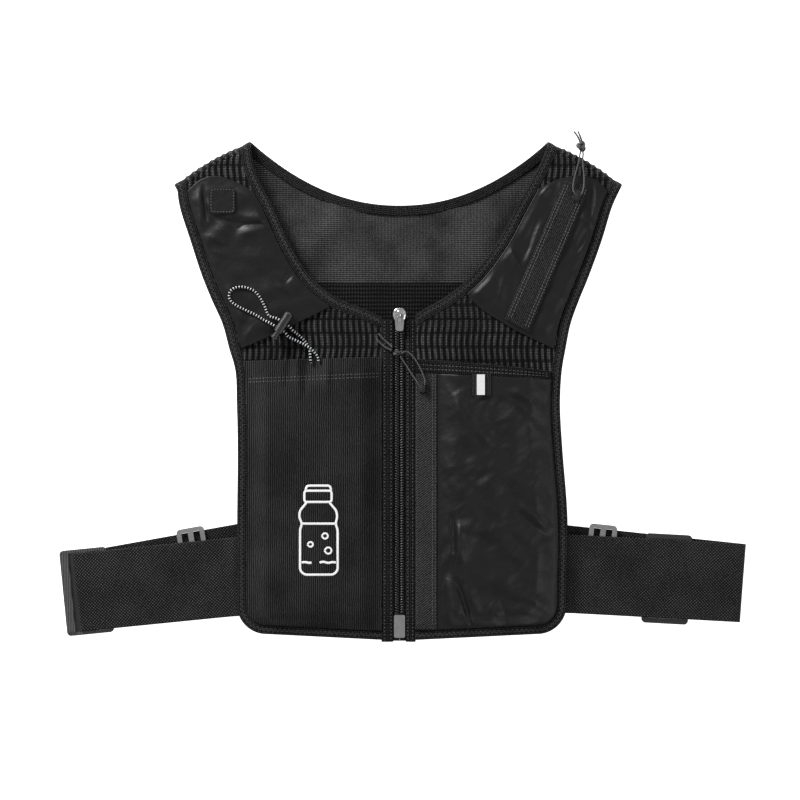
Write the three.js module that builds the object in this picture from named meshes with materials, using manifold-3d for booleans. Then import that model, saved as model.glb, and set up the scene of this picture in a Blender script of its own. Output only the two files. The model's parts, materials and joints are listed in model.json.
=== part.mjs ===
// A running hydration vest, lying flat on its back with the front up. Millimetres, +Z up.
// The zip line is the vest's middle. A place on one half is given as d, the distance out from
// the zip line, and y, the height above the hem.
import * as THREE from "three";
import { mergeVertices } from "three/addons/utils/BufferGeometryUtils.js";
import Module from "manifold-3d";

const wasm = await Module();
wasm.setup();

// Body
const BODY_HEIGHT = 369.5; // hem to the neck end of the shoulder fold line
const SHOULDER_DROP = 31.5; // how much lower the fold line's outer end is
const SHOULDER_HALF = 166;
const WAIST_HALF = 121.5;
const NECK_HALF = 110.5;
const NECK_BASE = 242; // height of the front neckline at the zip
const BACK_NECK_DROP = 44;
const NECK_TURN = 4.3; // how far the neck edge moves along the fold line as it turns over it
const HEM_RISE = 5; // the hem is this much higher at the corners than at the zip
const CORNER_RADIUS = 22;
const RIDGE_BULGE = 3;
const YOKE_SEAM = 266;
const ZIP_X = -3; // the zip line is a little left of the middle of the whole
const SEAT = 0.3; // the gap between pieces that touch

// Cloth
const BACK_CLOTH = 2;
const TORSO_GAP = 7;
const FRONT_CLOTH = 2.2;
const SATIN = 1.2;
const KNIT = 1.2;
const BINDING_WIDTH = 8.3;
const BINDING_THICK = 3.4;
const SATIN_PUFF = 1;
const POCKET_DEPTH = 6.2;
const POCKET_LIP = 12; // how far in from a sewn edge a pocket's wall has risen fully
const FLASK_TOP = 213;
const PHONE_TOP = 201;
const HEM_TAPE = 10;
const HEM_TAPE_THICK = 1.5;
const TUCK_AT = 64; // the tuck in the flask pocket's mouth, out from the zip line
const TUCK_HALF = 9;
const TUCK_LONG = 22;
const TUCK_LEFT = 1.2; // what the tuck leaves of the pocket's depth

// Zips and trim
const PLACKET_NEAR = 4.7;
const PLACKET_WIDTH = { left: 8.2, right: 6.8 };
const PLACKET_TOP = 241.5;
const ZIP_TAPE = 1.2;
const CHAIN_HALF = 3.5;
const CHAIN_THICK = 1.7;
const BOX_LENGTH = 17;
const BOX_HALF = 4.1;
const PHONE_TAPE_WIDTH = 16.5;
const TAPE_THICK = 1.2;
const PATCH_SIZE = 19;
const PATCH_AT = { across: 0.51, up: 0.855 }; // as shares of the left shoulder pocket
const PATCH_CORNER = 2.5;
const PATCH_THICK = 0.9;
const LABEL = { d: 60.7, width: 14.3, length: 16.5, stripe: 6, thick: 0.9 };

// Straps and their hardware
const STRAP_WIDTH = 59;
const STRAP_THICK = 1.6;
const STRAP_TURN = 2.2; // middle radius of the fold at the strap's end
const HARDWARE = 2.2; // thickness of the plastic frames between the strap's layers
const STRAP_UNDER = 9.5; // how far the strap runs in under the side binding
const STRAPS = {
  left: { reach: 241, y: 36, front: 5.7, back: 10.2 },
  right: { reach: 256, y: 43, front: 3.1, back: 6 },
};
// cheek is how much wider than the strap a frame is on each side
const BUCKLE = { out: 12.5, slot: 5.7, ease: 2.8, bar: 10, window: 8, inner: 5, cheek: 2.75, grip: 4 };
const GLIDE = { length: 21, cheek: 3.5, rim: 3.5, bar: 4, left: 90, right: 106 };
const HIDDEN_BUCKLE = { from: 37, length: 35, cheek: 4.25, rim: 5 };

// Cord lock and cords
const LOCK = { radius: 3.6, length: 17, bore: 2.5, wall: 2, near: 2.8, apart: 5.6, slot: 2.6 };
const PLUNGER = { radius: 2.2, out: 5.6, foot: 3, footLength: 2, travel: 3 };
const ELASTIC_CORD = 2;
const PULLER_CORD = 1.2;
const KNOT = { radius: 4, length: 9, tail: 8, tailRadius: 1.3 };
const SMALL_KNOT = { radius: 2.5, length: 6, tail: 0.4, tailRadius: 1 };

// Levels
const FRONT_LOW = BACK_CLOTH + TORSO_GAP;
const FRONT_MID = FRONT_LOW + FRONT_CLOTH / 2;
const FRONT_TOP = FRONT_LOW + FRONT_CLOTH;
const LAYER = FRONT_TOP + SEAT; // where a layer sewn on the front mesh starts
const SATIN_TOP = LAYER + SATIN_PUFF + SATIN;
const POCKET_TOP = LAYER + POCKET_DEPTH + SATIN;
const CLOTH_INSET = BINDING_WIDTH + SEAT;
const OUTER_UP = BODY_HEIGHT - SHOULDER_DROP;
const HEM_Y = -(BODY_HEIGHT + BINDING_THICK + 3.5) / 2;

// Outer edge above the hem corner. up is a share of the fold line's outer height, left and right are
// shares of the way from the waist's half width to the shoulder's.
const OUTER_EDGE = [
  { up: 0.09, left: 0.01, right: 0.09 },
  { up: 0.275, left: 0.01, right: 0.105 },
  { up: 0.425, left: 0, right: 0.02 },
  { up: 0.525, left: 0.015, right: -0.02 },
  { up: 0.6, left: 0.04, right: 0.01 },
  { up: 0.65, left: 0.145, right: 0.075 },
  { up: 0.705, left: 0.26, right: 0.16 },
  { up: 0.755, left: 0.43, right: 0.295 },
  { up: 0.81, left: 0.6, right: 0.465 },
  { up: 0.89, left: 0.8, right: 0.685 },
  { up: 0.965, left: 0.98, right: 0.86 },
  { up: 1, left: 1.02, right: 0.98 },
];

// Front neckline. rise is a share of the height from its base to the fold line, left and right are
// shares of the neck's half width.
const NECK_EDGE = [
  { rise: 0, left: 0.1, right: 0.07 },
  { rise: 0.055, left: 0.235, right: 0.165 },
  { rise: 0.13, left: 0.44, right: 0.315 },
  { rise: 0.25, left: 0.605, right: 0.485 },
  { rise: 0.445, left: 0.745, right: 0.66 },
  { rise: 0.665, left: 0.86, right: 0.8 },
  { rise: 0.83, left: 0.96, right: 0.905 },
  { rise: 0.91, left: 0.995, right: 0.955 },
  { rise: 1, left: 1.01, right: 1 },
];

// Folds in cloth: from and to are shares across and up the piece, wide and high are millimetres.
const PHONE_FOLDS = [
  { fromU: 0.87, fromV: 0.45, toU: 0.88, toV: 0.22, wide: 4, high: 1.8 },
  { fromU: 0.84, fromV: 0.2, toU: 0.7, toV: 0.03, wide: 5, high: 1.6 },
  { fromU: 0.93, fromV: 0.26, toU: 0.94, toV: 0.04, wide: 3.5, high: 1.2 },
  { fromU: 0.95, fromV: 0.93, toU: 0.55, toV: 0.7, wide: 7, high: 1.5 },
  { fromU: 0.1, fromV: 0.95, toU: 0.05, toV: 0.78, wide: 5, high: 1.2 },
  { fromU: 0.25, fromV: 0.48, toU: 0.08, toV: 0.38, wide: 5, high: 1.4 },
];
const FLASK_FOLDS = [
  { fromU: 0.42, fromV: 0.99, toU: 0.36, toV: 0.84, wide: 4, high: 1.3 },
  { fromU: 0.66, fromV: 0.98, toU: 0.7, toV: 0.82, wide: 4, high: 1.2 },
  { fromU: 0.05, fromV: 0.3, toU: 0.4, toV: 0.08, wide: 9, high: 1 },
];
const SATIN_FOLDS = {
  left: [
    { fromU: 0.85, fromV: 0.75, toU: 0.78, toV: 0.5, wide: 4, high: 1.1 },
    { fromU: 0.2, fromV: 0.62, toU: 0.45, toV: 0.46, wide: 4, high: 0.9 },
  ],
  right: [
    { fromU: 0.09, fromV: 0.9, toU: 0.08, toV: 0.45, wide: 3, high: 1.1 },
    { fromU: 0.92, fromV: 0.6, toU: 0.8, toV: 0.2, wide: 5, high: 1 },
  ],
};
// Soft folds of the back under the neck opening, as shares of the neck's half width and of the
// height between the yoke seam and the fold line.
const BACK_FOLDS = [
  { fromU: -0.37, fromV: 0.56, toU: -0.72, toV: 0.14, wide: 12, high: 3.2 },
  { fromU: 0.37, fromV: 0.5, toU: 0.68, toV: 0.18, wide: 12, high: 3 },
];

const LEFT = { sign: -1, name: "left" };
const RIGHT = { sign: 1, name: "right" };

// Numbers and places
const mix = (a, b, t) => a + (b - a) * t;
const mixed = (a, b, t) => a.map((value, i) => mix(value, b[i], t));
const unit = (v) => v.map((value) => value / Math.hypot(...v));
const plus = (a, b, k = 1) => a.map((value, i) => value + b[i] * k);
const radians = (degrees) => (degrees * Math.PI) / 180;
const steps = (n, from = 0, to = 1) => Array.from({ length: n + 1 }, (_, i) => mix(from, to, i / n));

function smooth(x) {
  const t = Math.min(1, Math.max(0, x));
  return t * t * (3 - 2 * t);
}

// 0 at both ends of a span, 1 once both are an edge's width away
function plateau(share, span, edge) {
  return smooth((share * span) / edge) * smooth(((1 - share) * span) / edge);
}

// From a half's own d and y to the part's frame
const place = (side, [d, y], z) => [ZIP_X + side.sign * d, HEM_Y + y, z];

// The height that a table of folds adds at a point; across and up turn shares into millimetres
function foldHeight(folds, u, v, across, up) {
  let height = 0;
  for (const fold of folds) {
    const from = [fold.fromU * across, fold.fromV * up];
    const run = [(fold.toU - fold.fromU) * across, (fold.toV - fold.fromV) * up];
    const away = [u * across - from[0], v * up - from[1]];
    const along = (away[0] * run[0] + away[1] * run[1]) / (run[0] ** 2 + run[1] ** 2);
    const t = Math.min(1, Math.max(0, along));
    const off = Math.hypot(away[0] - run[0] * t, away[1] - run[1] * t);
    height += fold.high * Math.exp(-((off / fold.wide) ** 2));
  }
  return height;
}

// A closed geometry from corners and triangles, turned so that its faces point outwards
function closed(points, faces) {
  let volume = 0;
  for (let i = 0; i < faces.length; i += 3) {
    const [a, b, c] = [0, 1, 2].map((k) => new THREE.Vector3(...points[faces[i + k]]));
    volume += a.dot(b.cross(c));
  }
  if (volume < 0) faces.reverse();
  const geometry = new THREE.BufferGeometry();
  geometry.setAttribute("position", new THREE.Float32BufferAttribute(points.flat(), 3));
  geometry.setIndex(faces);
  geometry.computeVertexNormals();
  return geometry;
}

// A sheet on a grid: pair(u, v) gives the lower and the upper point there
function sheet(us, vs, pair) {
  const points = [];
  for (const v of vs) for (const u of us) points.push(...pair(u, v));
  const id = (i, j, top) => 2 * (j * us.length + i) + top;
  const faces = [];
  const quad = (a, b, c, d) => faces.push(a, b, c, a, c, d);
  const [nu, nv] = [us.length - 1, vs.length - 1];
  for (let j = 0; j < nv; j++) {
    for (let i = 0; i < nu; i++) {
      quad(id(i, j, 1), id(i + 1, j, 1), id(i + 1, j + 1, 1), id(i, j + 1, 1));
      quad(id(i, j, 0), id(i, j + 1, 0), id(i + 1, j + 1, 0), id(i + 1, j, 0));
    }
    quad(id(0, j + 1, 0), id(0, j, 0), id(0, j, 1), id(0, j + 1, 1));
    quad(id(nu, j, 0), id(nu, j + 1, 0), id(nu, j + 1, 1), id(nu, j, 1));
  }
  for (let i = 0; i < nu; i++) {
    quad(id(i, 0, 0), id(i + 1, 0, 0), id(i + 1, 0, 1), id(i, 0, 1));
    quad(id(i + 1, nv, 0), id(i, nv, 0), id(i, nv, 1), id(i + 1, nv, 1));
  }
  return closed(points, faces);
}

// A sheet that lies flat: at(u, v) gives x, y, its underside's height and its thickness
function flatSheet(us, vs, at) {
  return sheet(us, vs, (u, v) => {
    const [x, y, z, thick] = at(u, v);
    return [[x, y, z], [x, y, z + thick]];
  });
}

// A bar through stations, each a ring of points
function swept(stations) {
  const n = stations[0].length;
  const last = (stations.length - 1) * n;
  const faces = [];
  for (let s = 0; s < stations.length - 1; s++) {
    for (let k = 0; k < n; k++) {
      const [a, b] = [s * n + k, s * n + ((k + 1) % n)];
      faces.push(a, b, b + n, a, b + n, a + n);
    }
  }
  for (let k = 1; k < n - 1; k++) {
    faces.push(0, k + 1, k);
    faces.push(last, last + k, last + k + 1);
  }
  return closed(stations.flat(), faces);
}

// Binding: a folded tape whose fold lies on the outer points and whose sewn side is on the inner
const BAND_SECTION = [
  { across: 0, out: -0.3 },
  { across: 0.15, out: -0.5 },
  { across: 1, out: -0.5 },
  { across: 1, out: 0.5 },
  { across: 0.15, out: 0.5 },
  { across: 0, out: 0.3 },
];
const bandStation = (outer, inner, normal) =>
  BAND_SECTION.map(({ across, out }) => plus(mixed(outer, inner, across), normal, out * BINDING_THICK));

function toSolid(geometry) {
  const bare = new THREE.BufferGeometry();
  const source = geometry.index ? geometry.toNonIndexed() : geometry;
  bare.setAttribute("position", source.getAttribute("position"));
  const merged = mergeVertices(bare, 1e-4);
  const triVerts = new Uint32Array(merged.index.array);
  const vertProperties = merged.attributes.position.array;
  return new wasm.Manifold(new wasm.Mesh({ numProp: 3, vertProperties, triVerts }));
}

function toGeometry(solid) {
  const { vertProperties, triVerts } = solid.getMesh();
  const geometry = new THREE.BufferGeometry();
  geometry.setAttribute("position", new THREE.BufferAttribute(vertProperties, 3));
  geometry.setIndex(new THREE.BufferAttribute(triVerts, 1));
  geometry.computeVertexNormals();
  return geometry;
}

const joined = (first, ...more) =>
  toGeometry(more.reduce((solid, geometry) => solid.add(toSolid(geometry)), toSolid(first)));
const cut = (first, ...tools) =>
  toGeometry(tools.reduce((solid, geometry) => solid.subtract(toSolid(geometry)), toSolid(first)));

function block(x0, x1, y0, y1, z0, z1) {
  const box = new THREE.BoxGeometry(x1 - x0, y1 - y0, z1 - z0);
  return box.translate((x0 + x1) / 2, (y0 + y1) / 2, (z0 + z1) / 2);
}

// A rectangle with round corners, and a plate of that outline from z0 to z1
function roundRect(x0, x1, y0, y1, radius, shape = new THREE.Shape()) {
  shape.moveTo(x0 + radius, y0);
  shape.lineTo(x1 - radius, y0);
  shape.absarc(x1 - radius, y0 + radius, radius, -Math.PI / 2, 0);
  shape.lineTo(x1, y1 - radius);
  shape.absarc(x1 - radius, y1 - radius, radius, 0, Math.PI / 2);
  shape.lineTo(x0 + radius, y1);
  shape.absarc(x0 + radius, y1 - radius, radius, Math.PI / 2, Math.PI);
  shape.lineTo(x0, y0 + radius);
  shape.absarc(x0 + radius, y0 + radius, radius, Math.PI, Math.PI * 1.5);
  return shape;
}

function plate(shape, z0, z1) {
  const geometry = new THREE.ExtrudeGeometry(shape, {
    depth: z1 - z0,
    bevelEnabled: false,
    curveSegments: 4,
  });
  return geometry.translate(0, 0, z0);
}

// Edges of one half
const RIDGE_IN = unit([NECK_HALF - SHOULDER_HALF, SHOULDER_DROP]);
const RIDGE_OUT = [RIDGE_IN[1], -RIDGE_IN[0]];
const CORNER_SHARE = 0.06; // the part of the outer edge's run that is the hem corner
const NECK_SHARE = 0.66; // where along the inner edge's run the neckline starts
const FOLD_BLEND = 0.1;

const flat = (points) => new THREE.CatmullRomCurve3(points.map(([d, y]) => new THREE.Vector3(d, y, 0)));

function halfEdges(side) {
  const outerHalf = (row) => WAIST_HALF + row[side.name] * (SHOULDER_HALF - WAIST_HALF);
  const cornerHalf = outerHalf(OUTER_EDGE[0]);
  const outer = flat([
    [cornerHalf, HEM_RISE + CORNER_RADIUS],
    ...OUTER_EDGE.slice(1).map((row) => [outerHalf(row), row.up * OUTER_UP]),
  ]);
  const neck = flat(
    NECK_EDGE.map((row) => [row[side.name] * NECK_HALF, mix(NECK_BASE, BODY_HEIGHT, row.rise)]),
  );
  return { outer, neck, corner: [cornerHalf - CORNER_RADIUS, HEM_RISE + CORNER_RADIUS] };
}
const EDGES = { left: halfEdges(LEFT), right: halfEdges(RIGHT) };

// A point moved in from an edge, along its normal, or along the fold line close to it
function insetFrom(curve, t, inset, turn, ridge, blend) {
  const [p, run] = [curve.getPointAt(t), curve.getTangentAt(t)];
  const normal = [-run.y * turn, run.x * turn];
  const way = unit(mixed(normal, ridge, blend));
  return plus([p.x, p.y], way, inset / (way[0] * normal[0] + way[1] * normal[1]));
}

// The outer edge from the hem corner, h = 0, to the fold line, h = 1
function outerEdge(side, h, inset) {
  const { outer, corner } = EDGES[side.name];
  if (h < CORNER_SHARE) {
    const angle = ((h / CORNER_SHARE - 1) * Math.PI) / 2;
    return plus(corner, [Math.cos(angle), Math.sin(angle)], CORNER_RADIUS - inset);
  }
  const t = (h - CORNER_SHARE) / (1 - CORNER_SHARE);
  return insetFrom(outer, t, inset, 1, RIDGE_IN, smooth((h - 1) / FOLD_BLEND + 1));
}

// The neckline from its base, t = 0, to the fold line, t = 1
function neckEdge(side, t, inset) {
  const away = RIDGE_IN.map((value) => -value);
  return insetFrom(EDGES[side.name].neck, t, inset, -1, away, smooth((t - 1) / FOLD_BLEND / 2 + 1));
}

const placketFar = (side) => PLACKET_NEAR + PLACKET_WIDTH[side.name];
const hemAt = (side, d) => (HEM_RISE * d) / EDGES[side.name].corner[0];

// The cloth's inner edge: up along the placket, then along the neck binding
function innerEdge(side, h, inset) {
  const near = placketFar(side) + SEAT;
  const base = neckEdge(side, 0, inset)[1];
  if (h < NECK_SHARE) return [near, mix(hemAt(side, near) + inset, base, h / NECK_SHARE)];
  const [d, y] = neckEdge(side, (h - NECK_SHARE) / (1 - NECK_SHARE), inset);
  return [Math.max(near, d), y];
}

// A point of a front half: u from the outer edge to the inner one, h from the hem to the fold line
function frontPoint(side, u, h) {
  const p = mixed(outerEdge(side, h, CLOTH_INSET), innerEdge(side, h, CLOTH_INSET), u);
  return plus(p, RIDGE_OUT, RIDGE_BULGE * 4 * u * (1 - u) * h ** 10);
}

// The run share h at which the cloth is y above the hem
function shareAt(side, y) {
  const base = neckEdge(side, 0, CLOTH_INSET)[1];
  return (NECK_SHARE * (y - CLOTH_INSET)) / (base - CLOTH_INSET);
}

// Back neckline, a smooth trough; x is from the zip line
const backNeckHalf = NECK_HALF + 1 + RIDGE_IN[0] * NECK_TURN;
const backNeckTop = BODY_HEIGHT + RIDGE_IN[1] * NECK_TURN;
const TROUGH = 2.1; // the neckline's power: 2 is a parabola

function backNeck(x, inset) {
  const share = Math.abs(x) / backNeckHalf;
  const y = backNeckTop - BACK_NECK_DROP * (1 - share ** TROUGH);
  const slope = (Math.sign(x) * BACK_NECK_DROP * TROUGH * share ** (TROUGH - 1)) / backNeckHalf;
  const normal = unit([slope, -1]);
  const away = [-RIDGE_IN[0] * Math.sign(x), -RIDGE_IN[1]];
  const way = unit(mixed(normal, away, smooth((share - 0.85) / 0.15)));
  return plus([x, y], way, inset / (way[0] * normal[0] + way[1] * normal[1]));
}

// Back panel
const NECK_FROM = 0.2; // where along the yoke's top edge the neckline starts
const yokeShare = (side) => {
  const { outer } = EDGES[side.name];
  let [low, high] = [0, 1];
  for (let i = 0; i < 20; i++) {
    const middle = (low + high) / 2;
    if (outer.getPointAt(middle).y < YOKE_SEAM) low = middle;
    else high = middle;
  }
  return mix(CORNER_SHARE, 1, low);
};
const YOKE_FROM = { left: yokeShare(LEFT), right: yokeShare(RIGHT) };

// The rows that cloth and bindings share, as runs of h: hem corner, body, above the neckline's base,
// above the yoke seam
const ROWS = { corner: 4, body: 5, chest: 4, yoke: 8 };
function rowShares(side) {
  const yoke = YOKE_FROM[side.name];
  return [
    ...steps(ROWS.corner, 0, CORNER_SHARE),
    ...steps(ROWS.body, CORNER_SHARE, NECK_SHARE).slice(1),
    ...steps(ROWS.chest, NECK_SHARE, yoke).slice(1),
    ...steps(ROWS.yoke, yoke, 1).slice(1),
  ];
}
const SHARES = { left: rowShares(LEFT), right: rowShares(RIGHT) };
const LOWER_ROWS = ROWS.corner + ROWS.body + ROWS.chest;

const wide = (side, [d, y]) => [side.sign * d, y];

function yokeTop(u) {
  if (u > NECK_FROM && u < 1 - NECK_FROM) {
    const share = (u - NECK_FROM) / (1 - 2 * NECK_FROM);
    return backNeck(mix(-backNeckHalf, backNeckHalf, share), CLOTH_INSET);
  }
  const side = u < 0.5 ? LEFT : RIGHT;
  const t = Math.min(u, 1 - u) / NECK_FROM;
  const inner = backNeck(side.sign * backNeckHalf, CLOTH_INSET);
  return mixed(wide(side, outerEdge(side, 1, CLOTH_INSET)), inner, t);
}

function yokeSide(side, v) {
  return wide(side, outerEdge(side, mix(YOKE_FROM[side.name], 1, v), CLOTH_INSET));
}

// The yoke is a patch between four edges
function yokePoint(u, v) {
  const [low0, low1] = [yokeSide(LEFT, 0), yokeSide(RIGHT, 0)];
  const [high0, high1] = [yokeTop(0), yokeTop(1)];
  const upward = mixed(yokeSide(LEFT, v), yokeSide(RIGHT, v), u);
  const across = mixed(mixed(low0, low1, u), yokeTop(u), v);
  const corners = mixed(mixed(low0, low1, u), mixed(high0, high1, u), v);
  return upward.map((value, i) => value + across[i] - corners[i]);
}

function backLift(x, y) {
  const v = (y - YOKE_SEAM) / (BODY_HEIGHT - YOKE_SEAM);
  const fade = smooth(v / 0.12);
  return fade * foldHeight(BACK_FOLDS, x / NECK_HALF, v, NECK_HALF, BODY_HEIGHT - YOKE_SEAM);
}

const NECK_COLUMNS = 14;
const YOKE_US = [...steps(2, 0, NECK_FROM), ...steps(NECK_COLUMNS, NECK_FROM, 1 - NECK_FROM).slice(1)];
YOKE_US.push(...steps(2, 1 - NECK_FROM, 1).slice(1));

const backYoke = flatSheet(YOKE_US, steps(ROWS.yoke), (u, v) => {
  const [x, y] = yokePoint(u, v);
  return [ZIP_X + x, HEM_Y + y - (v === 1 ? SEAT / 2 : 0), backLift(x, y), BACK_CLOTH];
});

const backLower = flatSheet(steps(4), steps(LOWER_ROWS, 0, LOWER_ROWS), (u, row) => {
  const [left, right] = [LEFT, RIGHT].map((side) =>
    wide(side, outerEdge(side, SHARES[side.name][row], CLOTH_INSET)),
  );
  const [x, y] = mixed(left, right, u);
  return [ZIP_X + x, HEM_Y + y - (row === LOWER_ROWS ? SEAT : 0), 0, BACK_CLOTH];
});

// Front mesh of one half, and the fold that carries it over the shoulder to the back
const frontMesh = (side) =>
  flatSheet(steps(6), SHARES[side.name], (u, v) => {
    const p = plus(frontPoint(side, u, v), RIDGE_OUT, v === 1 ? -SEAT / 2 : 0);
    return [...place(side, p, FRONT_LOW), FRONT_CLOTH];
  });

const foldMiddle = (low) => (FRONT_MID + low) / 2;
const foldRadius = (low) => (FRONT_MID - low) / 2;

// A point carried round the shoulder fold: turn 0 is on the front, 1 on the back, low the back's level
function overFold(side, p, turn, low, away = 0) {
  const angle = turn * Math.PI;
  const reach = (foldRadius(low) + away) * Math.sin(angle);
  const z = foldMiddle(low) + (foldRadius(low) + away) * Math.cos(angle);
  return place(side, plus(p, RIDGE_OUT, reach), z);
}

function foldLine(side, u, turn) {
  const outer = outerEdge(side, 1, CLOTH_INSET);
  const backInner = backNeck(backNeckHalf, CLOTH_INSET);
  const inner = mixed(neckEdge(side, 1, CLOTH_INSET), backInner, turn);
  const p = mixed(outer, inner, u);
  return plus(p, RIDGE_OUT, RIDGE_BULGE * 4 * u * (1 - u) * (1 - turn));
}

const shoulderFold = (side) =>
  sheet(steps(6), steps(8), (u, turn) => {
    const p = foldLine(side, u, turn);
    const half = (BACK_CLOTH + 0.1) / 2;
    return [-half, half].map((away) => overFold(side, p, turn, BACK_CLOTH / 2, away));
  });

// Bindings
const UP = [0, 0, 1];
const DOWN = [0, 0, -1];
const BIND_LOW = BINDING_THICK / 2;

function foldNormal(side, turn) {
  const angle = turn * Math.PI;
  const reach = Math.sin(angle);
  return [side.sign * RIDGE_OUT[0] * reach, RIDGE_OUT[1] * reach, Math.cos(angle)];
}

function turnStations(side, outerAt, innerAt) {
  return steps(6, 0, 1).map((turn) =>
    bandStation(
      overFold(side, outerAt(turn), turn, BIND_LOW),
      overFold(side, innerAt(turn), turn, BIND_LOW),
      foldNormal(side, turn),
    ),
  );
}

function hemStations(side, z, normal, from) {
  const corner = EDGES[side.name].corner[0];
  return steps(3, from, corner).slice(0, -1).map((d) => {
    const y = hemAt(side, d);
    return bandStation(place(side, [d, y], z), place(side, [d, y + BINDING_WIDTH], z), normal);
  });
}

function edgeStations(side, z, normal) {
  return SHARES[side.name].map((h) =>
    bandStation(
      place(side, outerEdge(side, h, 0), z),
      place(side, outerEdge(side, h, BINDING_WIDTH), z),
      normal,
    ),
  );
}

function sideBinding(side) {
  const front = edgeStations(side, FRONT_MID, UP);
  const over = turnStations(
    side,
    () => outerEdge(side, 1, 0),
    () => outerEdge(side, 1, BINDING_WIDTH),
  );
  const back = edgeStations(side, BIND_LOW, DOWN).reverse();
  return swept([
    ...hemStations(side, FRONT_MID, UP, placketFar(side) + SEAT),
    ...front,
    ...over.slice(1, -1),
    ...back,
    ...hemStations(side, BIND_LOW, DOWN, SEAT / 2).reverse(),
  ]);
}

function neckStations(side) {
  const far = placketFar(side) + SEAT;
  const kept = ([d, y]) => [Math.max(d, far), y];
  const shares = SHARES[side.name].filter((h) => h >= NECK_SHARE);
  const front = shares.map((h) => (h - NECK_SHARE) / (1 - NECK_SHARE)).map((t) =>
    bandStation(
      place(side, kept(neckEdge(side, t, 0)), FRONT_MID),
      place(side, kept(neckEdge(side, t, BINDING_WIDTH)), FRONT_MID),
      UP,
    ),
  );
  const over = turnStations(
    side,
    (turn) => mixed(neckEdge(side, 1, 0), backNeck(backNeckHalf, 0), turn),
    (turn) => mixed(neckEdge(side, 1, BINDING_WIDTH), backNeck(backNeckHalf, BINDING_WIDTH), turn),
  );
  return [...front, ...over.slice(1, -1)];
}

function neckBinding() {
  const back = steps(NECK_COLUMNS, -backNeckHalf, backNeckHalf).map((x) => {
    const [outer, inner] = [backNeck(x, 0), backNeck(x, BINDING_WIDTH)];
    const at = ([px, py]) => [ZIP_X + px, HEM_Y + py, BIND_LOW];
    return bandStation(at(outer), at(inner), DOWN);
  });
  return swept([...neckStations(LEFT), ...back, ...neckStations(RIGHT).reverse()]);
}

// Plackets beside the zip, with a small swelling at the foot
function placket(side) {
  const [near, far] = [PLACKET_NEAR, placketFar(side)];
  return flatSheet([0, 1], [0, 0.015, 0.04, 0.3, 0.6, 1], (u, v) => {
    const y = mix(-0.6 * (1 - u), PLACKET_TOP, v);
    return [...place(side, [mix(near, far, u), y], FRONT_LOW), BINDING_THICK];
  });
}

// Zip pieces
const CHAIN_LOW = FRONT_LOW + ZIP_TAPE + SEAT;
const CHAIN_TOP = CHAIN_LOW + CHAIN_THICK;
const SLIDER = { wide: 10.5, top: 250, middle: 241.8, foot: 237, plate: 1.5, crownHalf: 1.3 };
const CROWN = { from: 242.5, to: 248.7, thick: 1, inside: 1.9 };
const PULL = { bar: 0.65, reach: 12, window: 5.3, half: 3.3, windowHalf: 1.75, thick: 1.2 };
const PLATE_LOW = FRONT_LOW + BINDING_THICK + SEAT;
const PLATE_TOP = PLATE_LOW + SLIDER.plate;

const centred = (d0, d1, y0, y1, z0, z1) =>
  block(ZIP_X + d0, ZIP_X + d1, HEM_Y + y0, HEM_Y + y1, z0, z1);

const zipTape = (side) => {
  const [a, b] = [SEAT / 2, PLACKET_NEAR - SEAT].map((d) => d * side.sign);
  const foot = BOX_LENGTH + 2.5 + SEAT;
  return centred(Math.min(a, b), Math.max(a, b), foot, PLACKET_TOP, FRONT_LOW, FRONT_LOW + ZIP_TAPE);
};

const CHAIN_FOOT = BOX_LENGTH + 2.5 + SEAT;
function zipChain() {
  const section = (y) =>
    [-1, -0.75, 0.75, 1, 0.75, -0.75].map((share, k) => {
      const z = k === 0 || k === 3 ? mix(CHAIN_LOW, CHAIN_TOP, 0.4) : k < 3 ? CHAIN_LOW : CHAIN_TOP;
      return [ZIP_X + share * CHAIN_HALF, HEM_Y + y, z];
    });
  return swept([section(CHAIN_FOOT), section(PLACKET_TOP)]);
}

const zipBox = () =>
  plate(
    roundRect(ZIP_X - BOX_HALF, ZIP_X + BOX_HALF, HEM_Y + 2.5, HEM_Y + 2.5 + BOX_LENGTH, 1.2),
    FRONT_LOW,
    CHAIN_TOP + 0.4,
  );

function crownArch(d, from, to, low, thick, inside, half) {
  const outer = centred(d - half, d + half, from, to, low, low + inside + thick);
  const hole = centred(d - half - 1, d + half + 1, from + thick, to - thick, low - 1, low + inside);
  return cut(outer, hole);
}

function zipSlider() {
  const shape = new THREE.Shape();
  const half = SLIDER.wide / 2;
  shape.moveTo(-half * 0.7, SLIDER.foot);
  shape.lineTo(half * 0.7, SLIDER.foot);
  shape.quadraticCurveTo(half * 0.95, SLIDER.foot + 1, half, SLIDER.middle);
  shape.bezierCurveTo(half, SLIDER.top - 3, half * 0.45, SLIDER.top, half * 0.4, SLIDER.top);
  shape.lineTo(-half * 0.4, SLIDER.top);
  shape.bezierCurveTo(-half * 0.45, SLIDER.top, -half, SLIDER.top - 3, -half, SLIDER.middle);
  shape.quadraticCurveTo(-half * 0.95, SLIDER.foot + 1, -half * 0.7, SLIDER.foot);
  const top = plate(shape, PLATE_LOW, PLATE_TOP).translate(ZIP_X, HEM_Y, 0);
  const post = centred(-2, 2, PLACKET_TOP + SEAT, SLIDER.top - 1, FRONT_LOW, PLATE_LOW + 0.5);
  const crown = crownArch(
    0, CROWN.from, CROWN.to, PLATE_TOP - 0.01, CROWN.thick, CROWN.inside, SLIDER.crownHalf,
  );
  return joined(top, post, crown);
}

// The pull's bar lies inside the lower leg of the crown
const PULL_AXIS = { y: CROWN.from + CROWN.thick + SEAT + PULL.bar, z: PLATE_TOP + SEAT + PULL.bar };

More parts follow.
